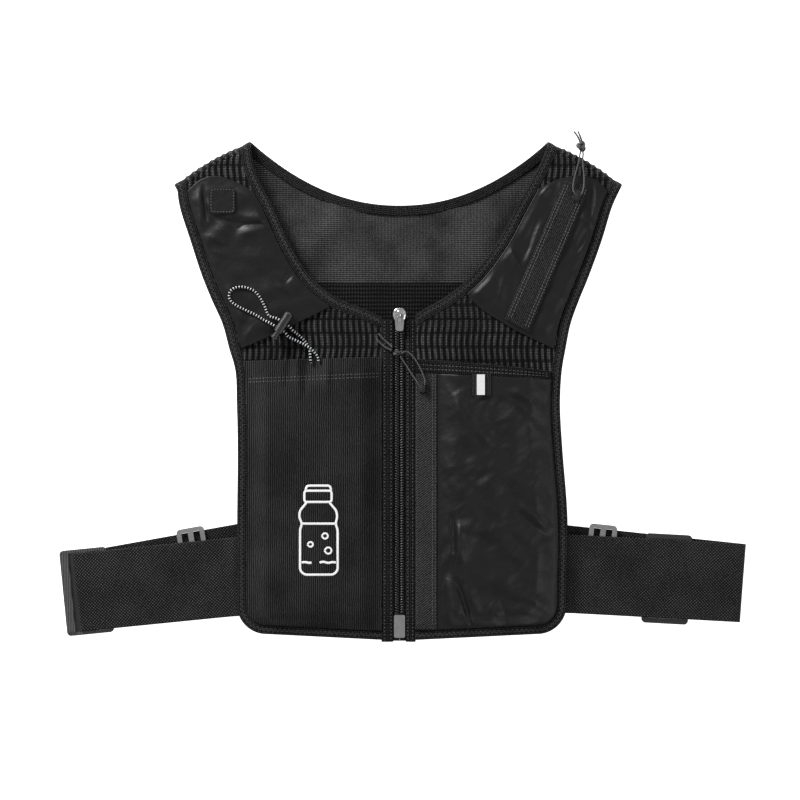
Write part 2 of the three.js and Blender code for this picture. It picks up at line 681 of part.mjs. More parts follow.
function zipPull() {
  const shape = new THREE.Shape();
  const end = -PULL.reach;
  shape.moveTo(-PULL.half, PULL.bar);
  shape.lineTo(-PULL.half, -PULL.window - 1);
  shape.lineTo(-PULL.half * 0.85, end + 1);
  shape.lineTo(-PULL.half * 0.85 + 1, end);
  shape.lineTo(PULL.half * 0.85 - 1, end);
  shape.lineTo(PULL.half * 0.85, end + 1);
  shape.lineTo(PULL.half, -PULL.window - 1);
  shape.lineTo(PULL.half, PULL.bar);
  shape.closePath();
  const hole = new THREE.Path();
  hole.moveTo(-PULL.windowHalf, -PULL.bar);
  hole.lineTo(PULL.windowHalf, -PULL.bar);
  hole.lineTo(PULL.windowHalf, -PULL.window);
  hole.lineTo(-PULL.windowHalf, -PULL.window);
  hole.closePath();
  shape.holes.push(hole);
  return plate(shape, -PULL.thick / 2, PULL.thick / 2).translate(ZIP_X, HEM_Y + PULL_AXIS.y, PULL_AXIS.z);
}

// Pockets on the front. Rows and columns lie closer together where a pocket's wall rises.
const POCKET_ROWS = [0, 0.02, 0.04, 0.06, ...steps(8, 0.1, 0.88), 0.92, 0.96, 1];
const WALL_COLUMNS = [0, 0.04, 0.08, 0.12];
const TUCK_REACH = 1.5; // how far the tuck's columns reach, in its half widths

// Shares of a span with more of them near both ends, where the wall rises
const risingShares = (n, edge) => [
  ...steps(3, 0, edge),
  ...steps(n, edge, 1 - edge).slice(1, -1),
  ...steps(3, 1 - edge, 1),
];

function flaskPocket() {
  const top = shareAt(LEFT, FLASK_TOP);
  const span = WAIST_HALF - placketFar(LEFT) - CLOTH_INSET;
  const tuckAt = (WAIST_HALF - CLOTH_INSET - TUCK_AT) / span;
  const tuckWide = (TUCK_REACH * TUCK_HALF) / span;
  const wall = WALL_COLUMNS.at(-1);
  const columns = [
    ...WALL_COLUMNS,
    ...steps(3, wall, tuckAt - tuckWide).slice(1),
    ...steps(6, tuckAt - tuckWide, tuckAt + tuckWide).slice(1),
    ...steps(3, tuckAt + tuckWide, 1 - wall).slice(1, -1),
    ...WALL_COLUMNS.map((share) => 1 - share).reverse(),
  ];
  return flatSheet(columns, POCKET_ROWS, (u, v) => {
    const [d, y] = frontPoint(LEFT, u, v * top);
    const rise = plateau(u, span, POCKET_LIP) * smooth((v * FLASK_TOP) / POCKET_LIP);
    const across = Math.exp(-(((d - TUCK_AT) / TUCK_HALF) ** 4));
    const tuck = across * smooth(1 - ((1 - v) * FLASK_TOP) / TUCK_LONG);
    const lift = rise * (POCKET_DEPTH - tuck * (POCKET_DEPTH - TUCK_LEFT));
    const folds = rise * (1 - tuck) * foldHeight(FLASK_FOLDS, u, v, span, FLASK_TOP);
    return [...place(LEFT, [d, y], LAYER + lift + folds), KNIT];
  });
}

const phoneNear = placketFar(RIGHT) + SEAT + PHONE_TAPE_WIDTH + SEAT;

// A point of the phone pocket: u from the side to the zip tape, v from the hem to the pocket's top
function phonePoint(u, v, from = phoneNear) {
  const h = v * shareAt(RIGHT, PHONE_TOP);
  const [outer, inner] = [outerEdge(RIGHT, h, CLOTH_INSET + SEAT), innerEdge(RIGHT, h, CLOTH_INSET)];
  const share = (outer[0] - from) / (outer[0] - inner[0]);
  return mixed(outer, inner, share * u);
}

function phoneLift(d, v, outer) {
  const span = outer - phoneNear;
  const share = Math.min(1, Math.max(0, (outer - d) / span));
  return POCKET_DEPTH * plateau(share, span, POCKET_LIP) * smooth((v * PHONE_TOP) / POCKET_LIP);
}

function phonePocket() {
  const span = WAIST_HALF - CLOTH_INSET - phoneNear;
  return flatSheet(risingShares(10, 0.14), POCKET_ROWS, (u, v) => {
    const p = phonePoint(u, v);
    const lift = phoneLift(p[0], v, phonePoint(0, v)[0]);
    const folds = (lift / POCKET_DEPTH) * foldHeight(PHONE_FOLDS, u, v, span, PHONE_TOP);
    return [...place(RIGHT, p, LAYER + lift + folds * smooth((1 - v) * 12)), SATIN];
  });
}

// The tape along the pocket's mouth runs on over the zip tape's top end
function pocketHem() {
  const near = placketFar(RIGHT) + SEAT;
  return flatSheet(risingShares(6, 0.14), [0, 1], (u, v) => {
    const [low, outer] = [phonePoint(u, 1, near), phonePoint(0, 1)[0]];
    const y = low[1] + SEAT + v * (HEM_TAPE - 4.5 * (1 - u) ** 2);
    return [...place(RIGHT, [low[0], y], LAYER + phoneLift(low[0], 1, outer)), HEM_TAPE_THICK];
  });
}

const phoneZipTape = () => {
  const near = placketFar(RIGHT) + SEAT;
  const [low, high] = [hemAt(RIGHT, near + PHONE_TAPE_WIDTH) + CLOTH_INSET, PHONE_TOP - SEAT];
  return flatSheet([0, 1], steps(8), (u, v) => [
    ...place(RIGHT, [mix(near, near + PHONE_TAPE_WIDTH, u), mix(low, high, v)], LAYER),
    TAPE_THICK,
  ]);
};

// Satin shoulder pockets, between a slanting seam and the open mesh at the ridge
const SATIN_FROM = { outer: 0.624, inner: { left: 0.74, right: 0.75 } };
const SATIN_TO = { outer: 0.985, inner: 0.94, crown: 0.02 };

function satinPoint(side, u, v) {
  const low = mix(SATIN_FROM.outer, SATIN_FROM.inner[side.name], u);
  const high = mix(SATIN_TO.outer, SATIN_TO.inner, u) + SATIN_TO.crown * 4 * u * (1 - u);
  return frontPoint(side, mix(0.015, 0.985, u), mix(low, high, v));
}

function shoulderPocket(side) {
  const [across, up] = [SHOULDER_HALF - NECK_HALF, OUTER_UP * 0.3];
  return flatSheet(risingShares(4, 0.1), risingShares(5, 0.08), (u, v) => {
    const rise = plateau(u, 1, 0.1) * plateau(v, 1, 0.08);
    const folds = foldHeight(SATIN_FOLDS[side.name], u, v, across, up) * plateau(v, 1, 0.3);
    return [...place(side, satinPoint(side, u, v), LAYER + rise * (SATIN_PUFF + folds)), SATIN];
  });
}

const shoulderPatch = () => {
  const half = PATCH_SIZE / 2;
  const [x, y] = place(LEFT, satinPoint(LEFT, PATCH_AT.across, PATCH_AT.up), 0);
  const low = SATIN_TOP + SEAT;
  return plate(roundRect(x - half, x + half, y - half, y + half, PATCH_CORNER), low, low + PATCH_THICK);
};

// The slanting zip tape on the right shoulder pocket: the corners of its ends, as shares of that pocket
const SHOULDER_TAPE = {
  low: [{ across: 0.2, up: 0.03 }, { across: 0.43, up: 0.03 }],
  high: [{ across: 0.29, up: 0.95 }, { across: 0.7, up: 0.97 }],
};
const SHOULDER_SLIDER = { across: 0.34, up: 0.925 }; // as shares of its tape

function shoulderTapePoint(u, v) {
  const [low, high] = [SHOULDER_TAPE.low, SHOULDER_TAPE.high].map((corners) => {
    const [outer, inner] = corners.map(({ across, up }) => satinPoint(RIGHT, across, up));
    return mixed(outer, inner, u);
  });
  return mixed(low, high, v);
}

const shoulderZipTape = () =>
  flatSheet([0, 1], steps(10), (u, v) => [
    ...place(RIGHT, shoulderTapePoint(u, v), SATIN_TOP + SEAT),
    TAPE_THICK,
  ]);

// A small slider: a plate with a wire arch, turned to its tape
const SMALL = { half: 2.6, length: 8, plate: 1.6, arch: 0.9, inside: 1.9, archLength: 5.4 };

function smallSlider(at, z, turn) {
  const outline = roundRect(-SMALL.half, SMALL.half, -SMALL.length / 2, SMALL.length / 2, 1.2);
  const low = plate(outline, 0, SMALL.plate);
  const [from, to] = [-SMALL.archLength / 2, SMALL.archLength / 2];
  const top = SMALL.plate + SMALL.inside + SMALL.arch;
  const arch = cut(
    block(-0.7, 0.7, from, to, SMALL.plate - 0.01, top),
    block(-2, 2, from + SMALL.arch, to - SMALL.arch, 0, SMALL.plate + SMALL.inside),
  );
  return joined(low, arch).rotateZ(turn).translate(...place(RIGHT, at, z));
}

// One near the top of the phone pocket's tape, one near the top of the slanting tape and turned with it
const PHONE_SLIDER = { across: 4.8, below: 10 };

function phoneZipSlider() {
  const at = [placketFar(RIGHT) + SEAT + PHONE_SLIDER.across, PHONE_TOP - PHONE_SLIDER.below];
  return smallSlider(at, LAYER + TAPE_THICK + SEAT, 0);
}

function shoulderZipSlider() {
  const [low, high] = [shoulderTapePoint(0.5, 0), shoulderTapePoint(0.5, 1)];
  const turn = -Math.atan2(high[0] - low[0], high[1] - low[1]);
  const at = shoulderTapePoint(SHOULDER_SLIDER.across, SHOULDER_SLIDER.up);
  return smallSlider(at, SATIN_TOP + 2 * SEAT + TAPE_THICK, turn);
}

// The label at the phone pocket's mouth
const labelPlate = (half, low, inset) => {
  const [x, y] = place(RIGHT, [LABEL.d, PHONE_TOP - 0.5], 0);
  return block(x - half, x + half, y - LABEL.length + inset, y - inset, low, low + LABEL.thick);
};

// Straps: from under the side binding out to a fold, then back to the side along the floor
const STRAP_LOW = STRAP_THICK / 2;
const STRAP_HIGH = STRAP_LOW + 2 * STRAP_TURN;
const STRAP_RAMP = 9; // the length over which the front layer rises to its seam
const STRAP_BACK_GAP = 2.8; // between the back layer's end and the side binding's edge
const FRONT_RUNS = [70, 35, 0]; // stations of the layers, in from the fold
const BACK_RUNS = [0, 40, 80];
const STRAP_SEWN = FRONT_MID - BINDING_THICK / 2 - SEAT - STRAP_THICK / 2;
const HARDWARE_LOW = STRAP_LOW + STRAP_TURN - HARDWARE / 2;

// A strap's layer at a distance in from its fold, turned by its angle
function strapSpot(side, run, angle) {
  const { reach, y } = STRAPS[side.name];
  const turn = radians(angle);
  return {
    middle: [reach - run * Math.cos(turn), y + run * Math.sin(turn)],
    across: [Math.sin(turn), Math.cos(turn)],
  };
}

function strap(side) {
  const { reach, front, back } = STRAPS[side.name];
  const edge = EDGES[side.name].outer.getPointAt(0.08).x;
  const inside = reach - edge + STRAP_UNDER;
  const stations = [];
  const seam = reach - edge;
  for (const run of [inside, seam + 1, seam - STRAP_RAMP, ...FRONT_RUNS]) {
    const high = mix(STRAP_HIGH, STRAP_SEWN, smooth((run - seam + STRAP_RAMP) / (STRAP_RAMP + 1)));
    stations.push({ run, angle: front, z: high, normal: [0, 1] });
  }
  for (const turn of steps(6, 0, 1).slice(1, -1)) {
    const [out, up] = [Math.sin(turn * Math.PI), Math.cos(turn * Math.PI)];
    const z = STRAP_LOW + STRAP_TURN * (1 + up);
    stations.push({ run: -STRAP_TURN * out, angle: mix(front, back, turn), z, normal: [out, up] });
  }
  for (const run of BACK_RUNS) stations.push({ run, angle: back, z: STRAP_LOW, normal: [0, -1] });
  stations.push({ run: null, angle: back, z: STRAP_LOW, normal: [0, -1] });
  const rows = stations.map(({ run, angle, z, normal }) => (w) => {
    const turn = radians(angle);
    const across = w * STRAP_WIDTH;
    // The back layer's end follows the side binding
    const free = (seam - STRAP_BACK_GAP + across * Math.sin(turn)) / Math.cos(turn);
    const { middle, across: way } = strapSpot(side, run === null ? free : run, angle);
    const p = plus(middle, way, across);
    const half = STRAP_THICK / 2;
    return [-half, half].map((off) =>
      place(side, plus(p, [Math.cos(turn), -Math.sin(turn)], off * normal[0]), z + off * normal[1]),
    );
  });
  const vs = rows.map((_, i) => i / (rows.length - 1));
  return sheet(steps(4, -0.5, 0.5), vs, (w, v) => rows[Math.round(v * (rows.length - 1))](w));
}

// A plastic frame with windows, in a strap layer's own line: out is away from the vest. Each window
// is given by where it starts and ends along the strap.
function windowed(from, to, cheek, windows) {
  const [top, half] = [HARDWARE_LOW + HARDWARE, STRAP_WIDTH / 2 + SEAT];
  const outside = STRAP_WIDTH / 2 + cheek;
  const frame = plate(roundRect(from, to, -outside, outside, 3), HARDWARE_LOW, top);
  return cut(frame, ...windows.map(([near, far]) => block(near, far, -half, half, 0, 2 * top)));
}

function frameOnStrap(side, at, angle, geometry) {
  const { middle } = strapSpot(side, at, angle);
  geometry.rotateZ(radians(-angle));
  if (side.sign < 0) {
    geometry.scale(-1, 1, 1);
    geometry.setIndex(Array.from(geometry.index.array).reverse());
    geometry.computeVertexNormals();
  }
  return geometry.translate(...place(side, middle, 0));
}

function buckleLeft() {
  const { out, slot, ease, bar, window: gap, inner, cheek, grip } = BUCKLE;
  const frame = windowed(-bar - gap - inner, out, cheek, [[-ease, slot], [-bar - gap, -bar]]);
  const [middle, half] = [HARDWARE_LOW + HARDWARE / 2, STRAP_WIDTH / 2];
  const thick = block(slot + 0.4, out - 0.3, -half, half, middle - grip / 2, middle + grip / 2);
  return frameOnStrap(LEFT, 0, STRAPS.left.front, joined(frame, thick));
}

function buckleRight() {
  const { from, length, cheek, rim } = HIDDEN_BUCKLE;
  const frame = windowed(-length / 2, length / 2, cheek, [[rim - length / 2, length / 2 - rim]]);
  return frameOnStrap(RIGHT, from + length / 2, STRAPS.right.front, frame);
}

function triGlide(side) {
  const { length, cheek, rim, bar } = GLIDE;
  const slots = [[rim - length / 2, -bar / 2], [bar / 2, length / 2 - rim]];
  const frame = windowed(-length / 2, length / 2, cheek, slots);
  return frameOnStrap(side, GLIDE[side.name], STRAPS[side.name].back, frame);
}

// Cord lock: a barrel with a bore from its foot and a slot across it, and a plunger in the bore
const LOCK_FOOT = { d: 91, y: 231.4 };
const LOCK_TURN = Math.atan2(9.2, 14.25); // its axis leans this much from the vest's own
const LOCK_Z = SATIN_TOP + SEAT + LOCK.radius;
const bottomSlot = LOCK.near - LOCK.slot / 2;
const topSlot = LOCK.near + LOCK.apart + LOCK.slot / 2;

// Along +Y from the barrel's foot, then turned and put in place
function lockPlaced(geometry) {
  const [x, y] = place(LEFT, [LOCK_FOOT.d, LOCK_FOOT.y], 0);
  return geometry.rotateZ(-LOCK_TURN).translate(x, y, LOCK_Z);
}

function turned(profile, sides = 16) {
  return new THREE.LatheGeometry(profile.map(([r, y]) => new THREE.Vector2(r, y)), sides);
}

const lockSlot = (from, to, half) => block(-9, 9, from, to, -half, half);

function lockBarrel() {
  const { radius, length, bore, wall, slot } = LOCK;
  const body = turned([
    [0, length], [radius - 0.8, length], [radius, length - 0.8], [radius, 0.4], [radius - 0.4, 0],
    [bore, 0], [bore, length - wall], [0, length - wall],
  ].reverse());
  return lockPlaced(cut(body, lockSlot(bottomSlot, topSlot, slot / 2)));
}

function lockPlunger() {
  const { radius, out, foot, footLength, travel } = PLUNGER;
  const inner = LOCK.length - LOCK.wall - travel - SEAT;
  const body = turned([
    [0, -out], [foot - 0.5, -out], [foot, -out + 0.5], [foot, -out + footLength],
    [radius, -out + footLength], [radius, inner], [0, inner],
  ]);
  return lockPlaced(cut(body, lockSlot(bottomSlot - travel - 0.1, topSlot + 0.1, LOCK.slot / 2)));
}

// Cord routes, hand-chosen: d, y and z of each point, on the left half for the elastic cord
const ELASTIC_ROUTE = [
  [66.2, 208.5, 16.1], [66.6, 212.5, 16.1], [66.9, 216, 15.4], [68, 220.3, 13.4], [70.4, 224.2, 13],
  [74.4, 228.5, 14.3], [80.2, 233.2, 17],
];
const ELASTIC_LOOP = [
  [97.6, 244, 16.4], [100.6, 250.4, 15.4], [104, 257, 15.1], [108.6, 262.3, 15.1], [114.6, 264.9, 15.1],
  [120, 265.4, 15.1], [124.1, 264.3, 15.1], [127, 261.6, 15.1], [127.4, 257.9, 15.1], [125.4, 254, 15.1],
  [120.7, 250.8, 15.1], [114, 247.5, 15.1], [107.5, 244.4, 15.3], [102.5, 241.3, 16.1],
];
const ELASTIC_TAIL = [
  [83.2, 228.2, 17], [78, 225.6, 15.8], [73, 223.2, 15.6], [69.3, 221.2, 16], [66, 218.9, 16.4],
  [63.2, 216, 16.4], [61.2, 213.2, 16.2], [60.4, 209.8, 16.1],
];
const UPPER_PULLER = [
  [136.2, 367.7, 6.8], [135.6, 365.6, 9.6], [135, 362.9, 12.4], [134, 358.5, 14], [132.2, 352, 15.8],
  [130.6, 345.8, 16.7], [129.8, 340.5, 17.4], [130.2, 336.6, 18], [131.6, 334.6, 18.1], [132.6, 334, 18.1],
  [133.8, 333.5, 18.1], [135.6, 334.2, 18.1], [137, 337, 17.8], [137.9, 341.4, 17.2], [138.1, 346, 16.6],
  [137.8, 352, 15.8], [137.3, 358, 14], [137.4, 361.6, 12.4], [137.9, 364.8, 9.6], [138, 367.2, 6.7],
];
const LOWER_PULLER = [
  [1.7, 215.9, 15.6], [5, 217, 15], [9.6, 213.8, 14.9], [13.6, 208.2, 15.3], [17, 201.6, 15.2],
  [18.9, 195.4, 15.2], [18.5, 191.3, 15.4], [16.4, 190.2, 15.3], [14.3, 192.9, 15.2], [10.6, 198.2, 14.9],
  [6.2, 205, 15.2], [2.4, 210.8, 15.5], [0.8, 213.2, 15.6],
];
const UPPER_KNOT = [137, 372, 4.3];
const LOWER_KNOT = [-2, 216.3, 15.4];
const PULLER_TAILS = [
  [[-5.2, 220.4, 15.2], [-8.5, 223.2, 14], [-12.6, 227, 13.6], [-15.6, 230.6, 13.4]],
  [[-5.6, 218, 15.2], [-9.4, 219.6, 14.2], [-13.4, 222.6, 13.6], [-17.4, 226.6, 13.4]],
];

// Where the elastic cord crosses the barrel, on the side before and after it
function lockCrossing(along) {
  const way = [Math.sin(LOCK_TURN), Math.cos(LOCK_TURN)];
  const across = [way[1], -way[0]];
  const at = [-LOCK_FOOT.d + way[0] * along, LOCK_FOOT.y + way[1] * along];
  return [-1, 1].map((k) => {
    const p = plus(at, across, k * (LOCK.radius + 1.5));
    return [-p[0], p[1], LOCK_Z];
  });
}

function tube(side, route, diameter, stretch = 3) {
  const curve = new THREE.CatmullRomCurve3(
    route.map(([d, y, z]) => new THREE.Vector3(...place(side, [d, y], z))),
    false,
    "centripetal",
  );
  const section = new THREE.Shape();
  const round = steps(8).slice(0, -1).map((t) => t * 2 * Math.PI);
  round.forEach((angle, k) => {
    const [x, y] = [(Math.cos(angle) * diameter) / 2, (Math.sin(angle) * diameter) / 2];
    if (k) section.lineTo(x, y);
    else section.moveTo(x, y);
  });
  section.closePath();
  const count = Math.round(curve.getLength() / (diameter * stretch));
  return new THREE.ExtrudeGeometry(section, { steps: count, extrudePath: curve, bevelEnabled: false });
}

function elasticCord() {
  const [upperIn, upperOut] = lockCrossing(LOCK.near + LOCK.apart);
  const [lowerIn, lowerOut] = lockCrossing(LOCK.near);
  return tube(
    LEFT,
    [...ELASTIC_ROUTE, upperOut, upperIn, ...ELASTIC_LOOP, lowerIn, lowerOut, ...ELASTIC_TAIL],
    ELASTIC_CORD,
    2.6,
  );
}

// A knot and its tail, turned about the tail's line, from a head at the origin along +Y
function knot({ radius, length, tail, tailRadius }, [d, y, z], turn) {
  const profile = [
    [0, -length / 2], [radius * 0.55, -length * 0.46], [radius * 0.95, -length * 0.22], [radius, 0],
    [radius * 0.85, length * 0.25], [tailRadius * 1.3, length * 0.46], [tailRadius, length / 2],
    [tailRadius * 1.2, length / 2 + tail * 0.4], [tailRadius * 0.4, length / 2 + tail],
    [0, length / 2 + tail],
  ];
  return turned(profile, 12).rotateZ(turn).translate(...place(RIGHT, [d, y], z));
}

// Finishes
const finish = (color, roughness, metalness = 0) =>
  new THREE.MeshStandardMaterial({ color, roughness, metalness });
const FINISH = {
  mesh: finish(0x151517, 0.9),
  satin: finish(0x1a1a1c, 0.5),
  knit: finish(0x161618, 0.85),
  binding: finish(0x121214, 0.85),
  elastic: finish(0x1b1b1d, 0.85),
  coil: finish(0x101012, 0.5),
  metal: finish(0xb8b8bc, 0.25, 1),
  plastic: finish(0x2c2c2f, 0.45),
  cord: finish(0x0f0f11, 0.7),
  reflective: finish(0xe6e6e8, 0.35),
};

const vest = new THREE.Group();
function add(name, geometry, material) {
  const mesh = new THREE.Mesh(geometry, material);
  mesh.name = name;
  vest.add(mesh);
}

add("back_yoke", backYoke, FINISH.mesh);
add("back_lower", backLower, FINISH.mesh);
for (const side of [LEFT, RIGHT]) {
  add(`front_mesh_${side.name}`, frontMesh(side), FINISH.mesh);
  add(`shoulder_fold_${side.name}`, shoulderFold(side), FINISH.mesh);
  add(`binding_${side.name}`, sideBinding(side), FINISH.binding);
  add(`placket_${side.name}`, placket(side), FINISH.binding);
  add(`shoulder_pocket_${side.name}`, shoulderPocket(side), FINISH.satin);
  add(`zip_tape_${side.name}`, zipTape(side), FINISH.elastic);
  add(`strap_${side.name}`, strap(side), FINISH.elastic);
  add(`tri_glide_${side.name}`, triGlide(side), FINISH.plastic);
}
add("binding_neck", neckBinding(), FINISH.binding);
add("flask_pocket", flaskPocket(), FINISH.knit);
add("phone_pocket", phonePocket(), FINISH.satin);
add("pocket_hem", pocketHem(), FINISH.binding);
add("phone_zip_tape", phoneZipTape(), FINISH.elastic);
add("shoulder_patch", shoulderPatch(), FINISH.satin);
add("shoulder_zip_tape", shoulderZipTape(), FINISH.elastic);
add("zip_chain", zipChain(), FINISH.coil);
add("zip_slider", zipSlider(), FINISH.metal);
add("zip_pull", zipPull(), FINISH.metal);
add("zip_box", zipBox(), FINISH.plastic);
add("label_tab", labelPlate(LABEL.width / 2, POCKET_TOP + SEAT, 0), FINISH.binding);
add(
  "label_stripe",
  labelPlate(LABEL.stripe / 2, POCKET_TOP + 2 * SEAT + LABEL.thick, 0.6),
  FINISH.reflective,
);
add("phone_zip_slider", phoneZipSlider(), FINISH.plastic);
add("shoulder_zip_slider", shoulderZipSlider(), FINISH.plastic);
add("buckle_left", buckleLeft(), FINISH.plastic);
add("buckle_right", buckleRight(), FINISH.plastic);
add("cord_lock_barrel", lockBarrel(), FINISH.plastic);
add("cord_lock_plunger", lockPlunger(), FINISH.plastic);
add("elastic_cord", elasticCord(), FINISH.reflective);
add("puller_cord_upper", tube(RIGHT, UPPER_PULLER, PULLER_CORD), FINISH.cord);
add("puller_knot_upper", knot(KNOT, UPPER_KNOT, radians(-25)), FINISH.cord);
add("puller_cord_lower", tube(RIGHT, LOWER_PULLER, PULLER_CORD), FINISH.cord);
PULLER_TAILS.forEach((route, i) => {
  add(`puller_tail_${i + 1}`, tube(RIGHT, route, PULLER_CORD), FINISH.cord);
});
add("puller_knot_lower", knot(SMALL_KNOT, LOWER_KNOT, radians(60)), FINISH.cord);

export default vest;
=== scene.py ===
# %% [markdown]
# # A running hydration vest
#
# The vest lies flat on its back, closed by its centre zip. Two satin pockets sit on the shoulders, a knit
# pocket for a soft flask on one half and a satin pocket for a phone on the other. Between them shows a
# ribbed spacer mesh, and through the neck opening the fine mesh of the back.
#
# The construction is loaded first. It holds every piece at its real size and place, so each surface that
# is made here starts from the same sizes and lands where its solid lies.

# %% Load the frame
import json
import math

import bpy
import numpy as np
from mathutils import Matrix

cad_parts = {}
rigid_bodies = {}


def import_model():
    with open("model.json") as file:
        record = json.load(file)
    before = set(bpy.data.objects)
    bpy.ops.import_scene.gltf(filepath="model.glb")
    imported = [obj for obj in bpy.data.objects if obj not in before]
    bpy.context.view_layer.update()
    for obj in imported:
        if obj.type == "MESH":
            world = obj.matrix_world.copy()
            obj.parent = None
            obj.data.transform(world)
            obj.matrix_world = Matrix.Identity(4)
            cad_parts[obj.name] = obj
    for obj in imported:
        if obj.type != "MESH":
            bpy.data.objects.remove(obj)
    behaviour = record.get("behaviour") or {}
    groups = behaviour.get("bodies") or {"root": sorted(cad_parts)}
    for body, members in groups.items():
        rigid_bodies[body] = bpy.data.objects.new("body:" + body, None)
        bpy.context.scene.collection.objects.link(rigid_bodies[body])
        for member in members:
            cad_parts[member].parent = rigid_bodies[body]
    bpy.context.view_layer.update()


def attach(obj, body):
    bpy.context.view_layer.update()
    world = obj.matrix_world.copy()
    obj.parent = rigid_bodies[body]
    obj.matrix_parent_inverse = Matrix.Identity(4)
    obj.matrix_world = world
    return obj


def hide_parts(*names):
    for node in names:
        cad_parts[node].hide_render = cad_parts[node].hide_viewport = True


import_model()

# %% [markdown]
# ## Sizes
#
# The vest's own sizes are in millimetres, because a maker thinks in them, and one factor turns them into
# Blender's metres. A place on one half is given as d, the distance out from the zip, and y, the height
# above the hem.

# %% Sizes of the body
MM = 0.001
BODY_HEIGHT = 369.5
SHOULDER_DROP = 31.5
SHOULDER_HALF = 166
WAIST_HALF = 121.5
NECK_HALF = 110.5
NECK_BASE = 242
BACK_NECK_DROP = 44
NECK_TURN = 4.3
HEM_RISE = 5
CORNER_RADIUS = 22
RIDGE_BULGE = 3
YOKE_SEAM = 266
ZIP_X = -3
SEAT = 0.3
print("body:", 2 * SHOULDER_HALF, "mm wide at the shoulders and", BODY_HEIGHT, "mm high")

# %% Sizes of cloth, pockets and straps
BACK_CLOTH = 2
TORSO_GAP = 7
FRONT_CLOTH = 2.2
SATIN = 1.2
KNIT = 1.2
BINDING_WIDTH = 8.3
BINDING_THICK = 3.4
SATIN_PUFF = 1
POCKET_DEPTH = 6.2
POCKET_LIP = 17
FLASK_TOP = 213
PHONE_TOP = 201
HEM_TAPE = 10
HEM_TAPE_THICK = 1.5
TUCK_AT = 64
TUCK_HALF = 9
TUCK_LONG = 22
TUCK_LEFT = 1.2
PLACKET_NEAR = 4.7
PLACKET_WIDTH = {"left": 8.2, "right": 6.8}
PLACKET_TOP = 241.5
PHONE_TAPE_WIDTH = 16.5
TAPE_THICK = 1.2
STRAP_WIDTH = 59
STRAP_THICK = 1.6
STRAP_TURN = 2.2
STRAP_UNDER = 9.5
STRAPS = {
    "left": {"reach": 241, "y": 36, "front": 5.7, "back": 10.2},
    "right": {"reach": 256, "y": 43, "front": 3.1, "back": 6},
}

FRONT_LOW = BACK_CLOTH + TORSO_GAP
FRONT_MID = FRONT_LOW + FRONT_CLOTH / 2
FRONT_TOP = FRONT_LOW + FRONT_CLOTH
LAYER = FRONT_TOP + SEAT
SATIN_TOP = LAYER + SATIN_PUFF + SATIN
CLOTH_INSET = BINDING_WIDTH - 1  # the cloth ends inside the folded tape
OUTER_UP = BODY_HEIGHT - SHOULDER_DROP
HEM_Y = -(BODY_HEIGHT + BINDING_THICK + 3.5) / 2
print("tops of the mesh and the satin:", round(FRONT_TOP, 1), "and", round(SATIN_TOP, 1), "mm up")

# %% [markdown]
# ## The view
#
# The vest is seen from straight above, as it would be laid out on a table. A long lens from high up keeps
# the drawing flat, and its view is as wide as the photograph's.

# %% Camera
FRAME_WIDE = 600  # what the picture spans, in millimetres
FRAME_MIDDLE = (-2.6, -7.4)
LENS = 100
SENSOR = 36
VEST_LEVEL = 12  # the height at which the picture spans its width

camera_data = bpy.data.cameras.new("camera")
camera_data.lens = LENS
camera_data.sensor_width = SENSOR
camera = bpy.data.objects.new("camera", camera_data)
far = FRAME_WIDE * LENS / SENSOR + VEST_LEVEL
camera.location = (FRAME_MIDDLE[0] * MM, FRAME_MIDDLE[1] * MM, far * MM)
bpy.context.scene.collection.objects.link(camera)
bpy.context.scene.camera = camera
print("camera height:", round(far), "mm")

# %% [markdown]
# ## Small tools for shapes
#
# Each surface is a function of two shares on a grid, worked out as whole arrays. These few functions mix
# values, ease them, and carry a smooth curve through chosen points.


# %% Mixing and easing
def mix(a, b, t):
    """The value a share t of the way from a to b."""
    return a + (b - a) * t


def smooth(x):
    """0 below 0, 1 above 1, and between them 3 t squared minus 2 t cubed."""
    t = np.clip(x, 0, 1)
    return t * t * (3 - 2 * t)


def plateau(share, span, edge):
    """0 at both ends of a span, easing to 1 once both ends are an edge's width away."""
    return smooth(share * span / edge) * smooth((1 - share) * span / edge)


def unit(v):
    """Each vector divided by its own length."""
    v = np.asarray(v, float)
    return v / np.maximum(np.linalg.norm(v, axis=-1, keepdims=True), 1e-12)


def pair(a, b):
    """Two arrays as the last axis of one."""
    return np.stack(np.broadcast_arrays(a, b), axis=-1)


def bell(x):
    """1 where x is 0, dying away on both sides: e to the power of minus x squared."""
    return np.exp(-(x**2))


def signed_power(x, power):
    """A power of x's size, with x's sign."""
    return np.sign(x) * np.abs(x) ** power


def full_turn(count):
    """Angles evenly spaced once round."""
    return np.linspace(0, 2 * math.pi, count, endpoint=False)


# %% Runs and curves
def run_lengths(points, axis=0):
    """How far each point lies along the cloth from the grid's first row or column."""
    step = np.linalg.norm(np.diff(points, axis=axis), axis=-1)
    start = np.zeros_like(np.take(step, [0], axis=axis))
    return np.concatenate([start, np.cumsum(step, axis=axis)], axis=axis)


def read_at(where, run, rows):
    """Rows of values read at places along their run, each a mix of the rows on either side."""
    return np.stack([np.interp(where, run, column) for column in rows.T], axis=-1)


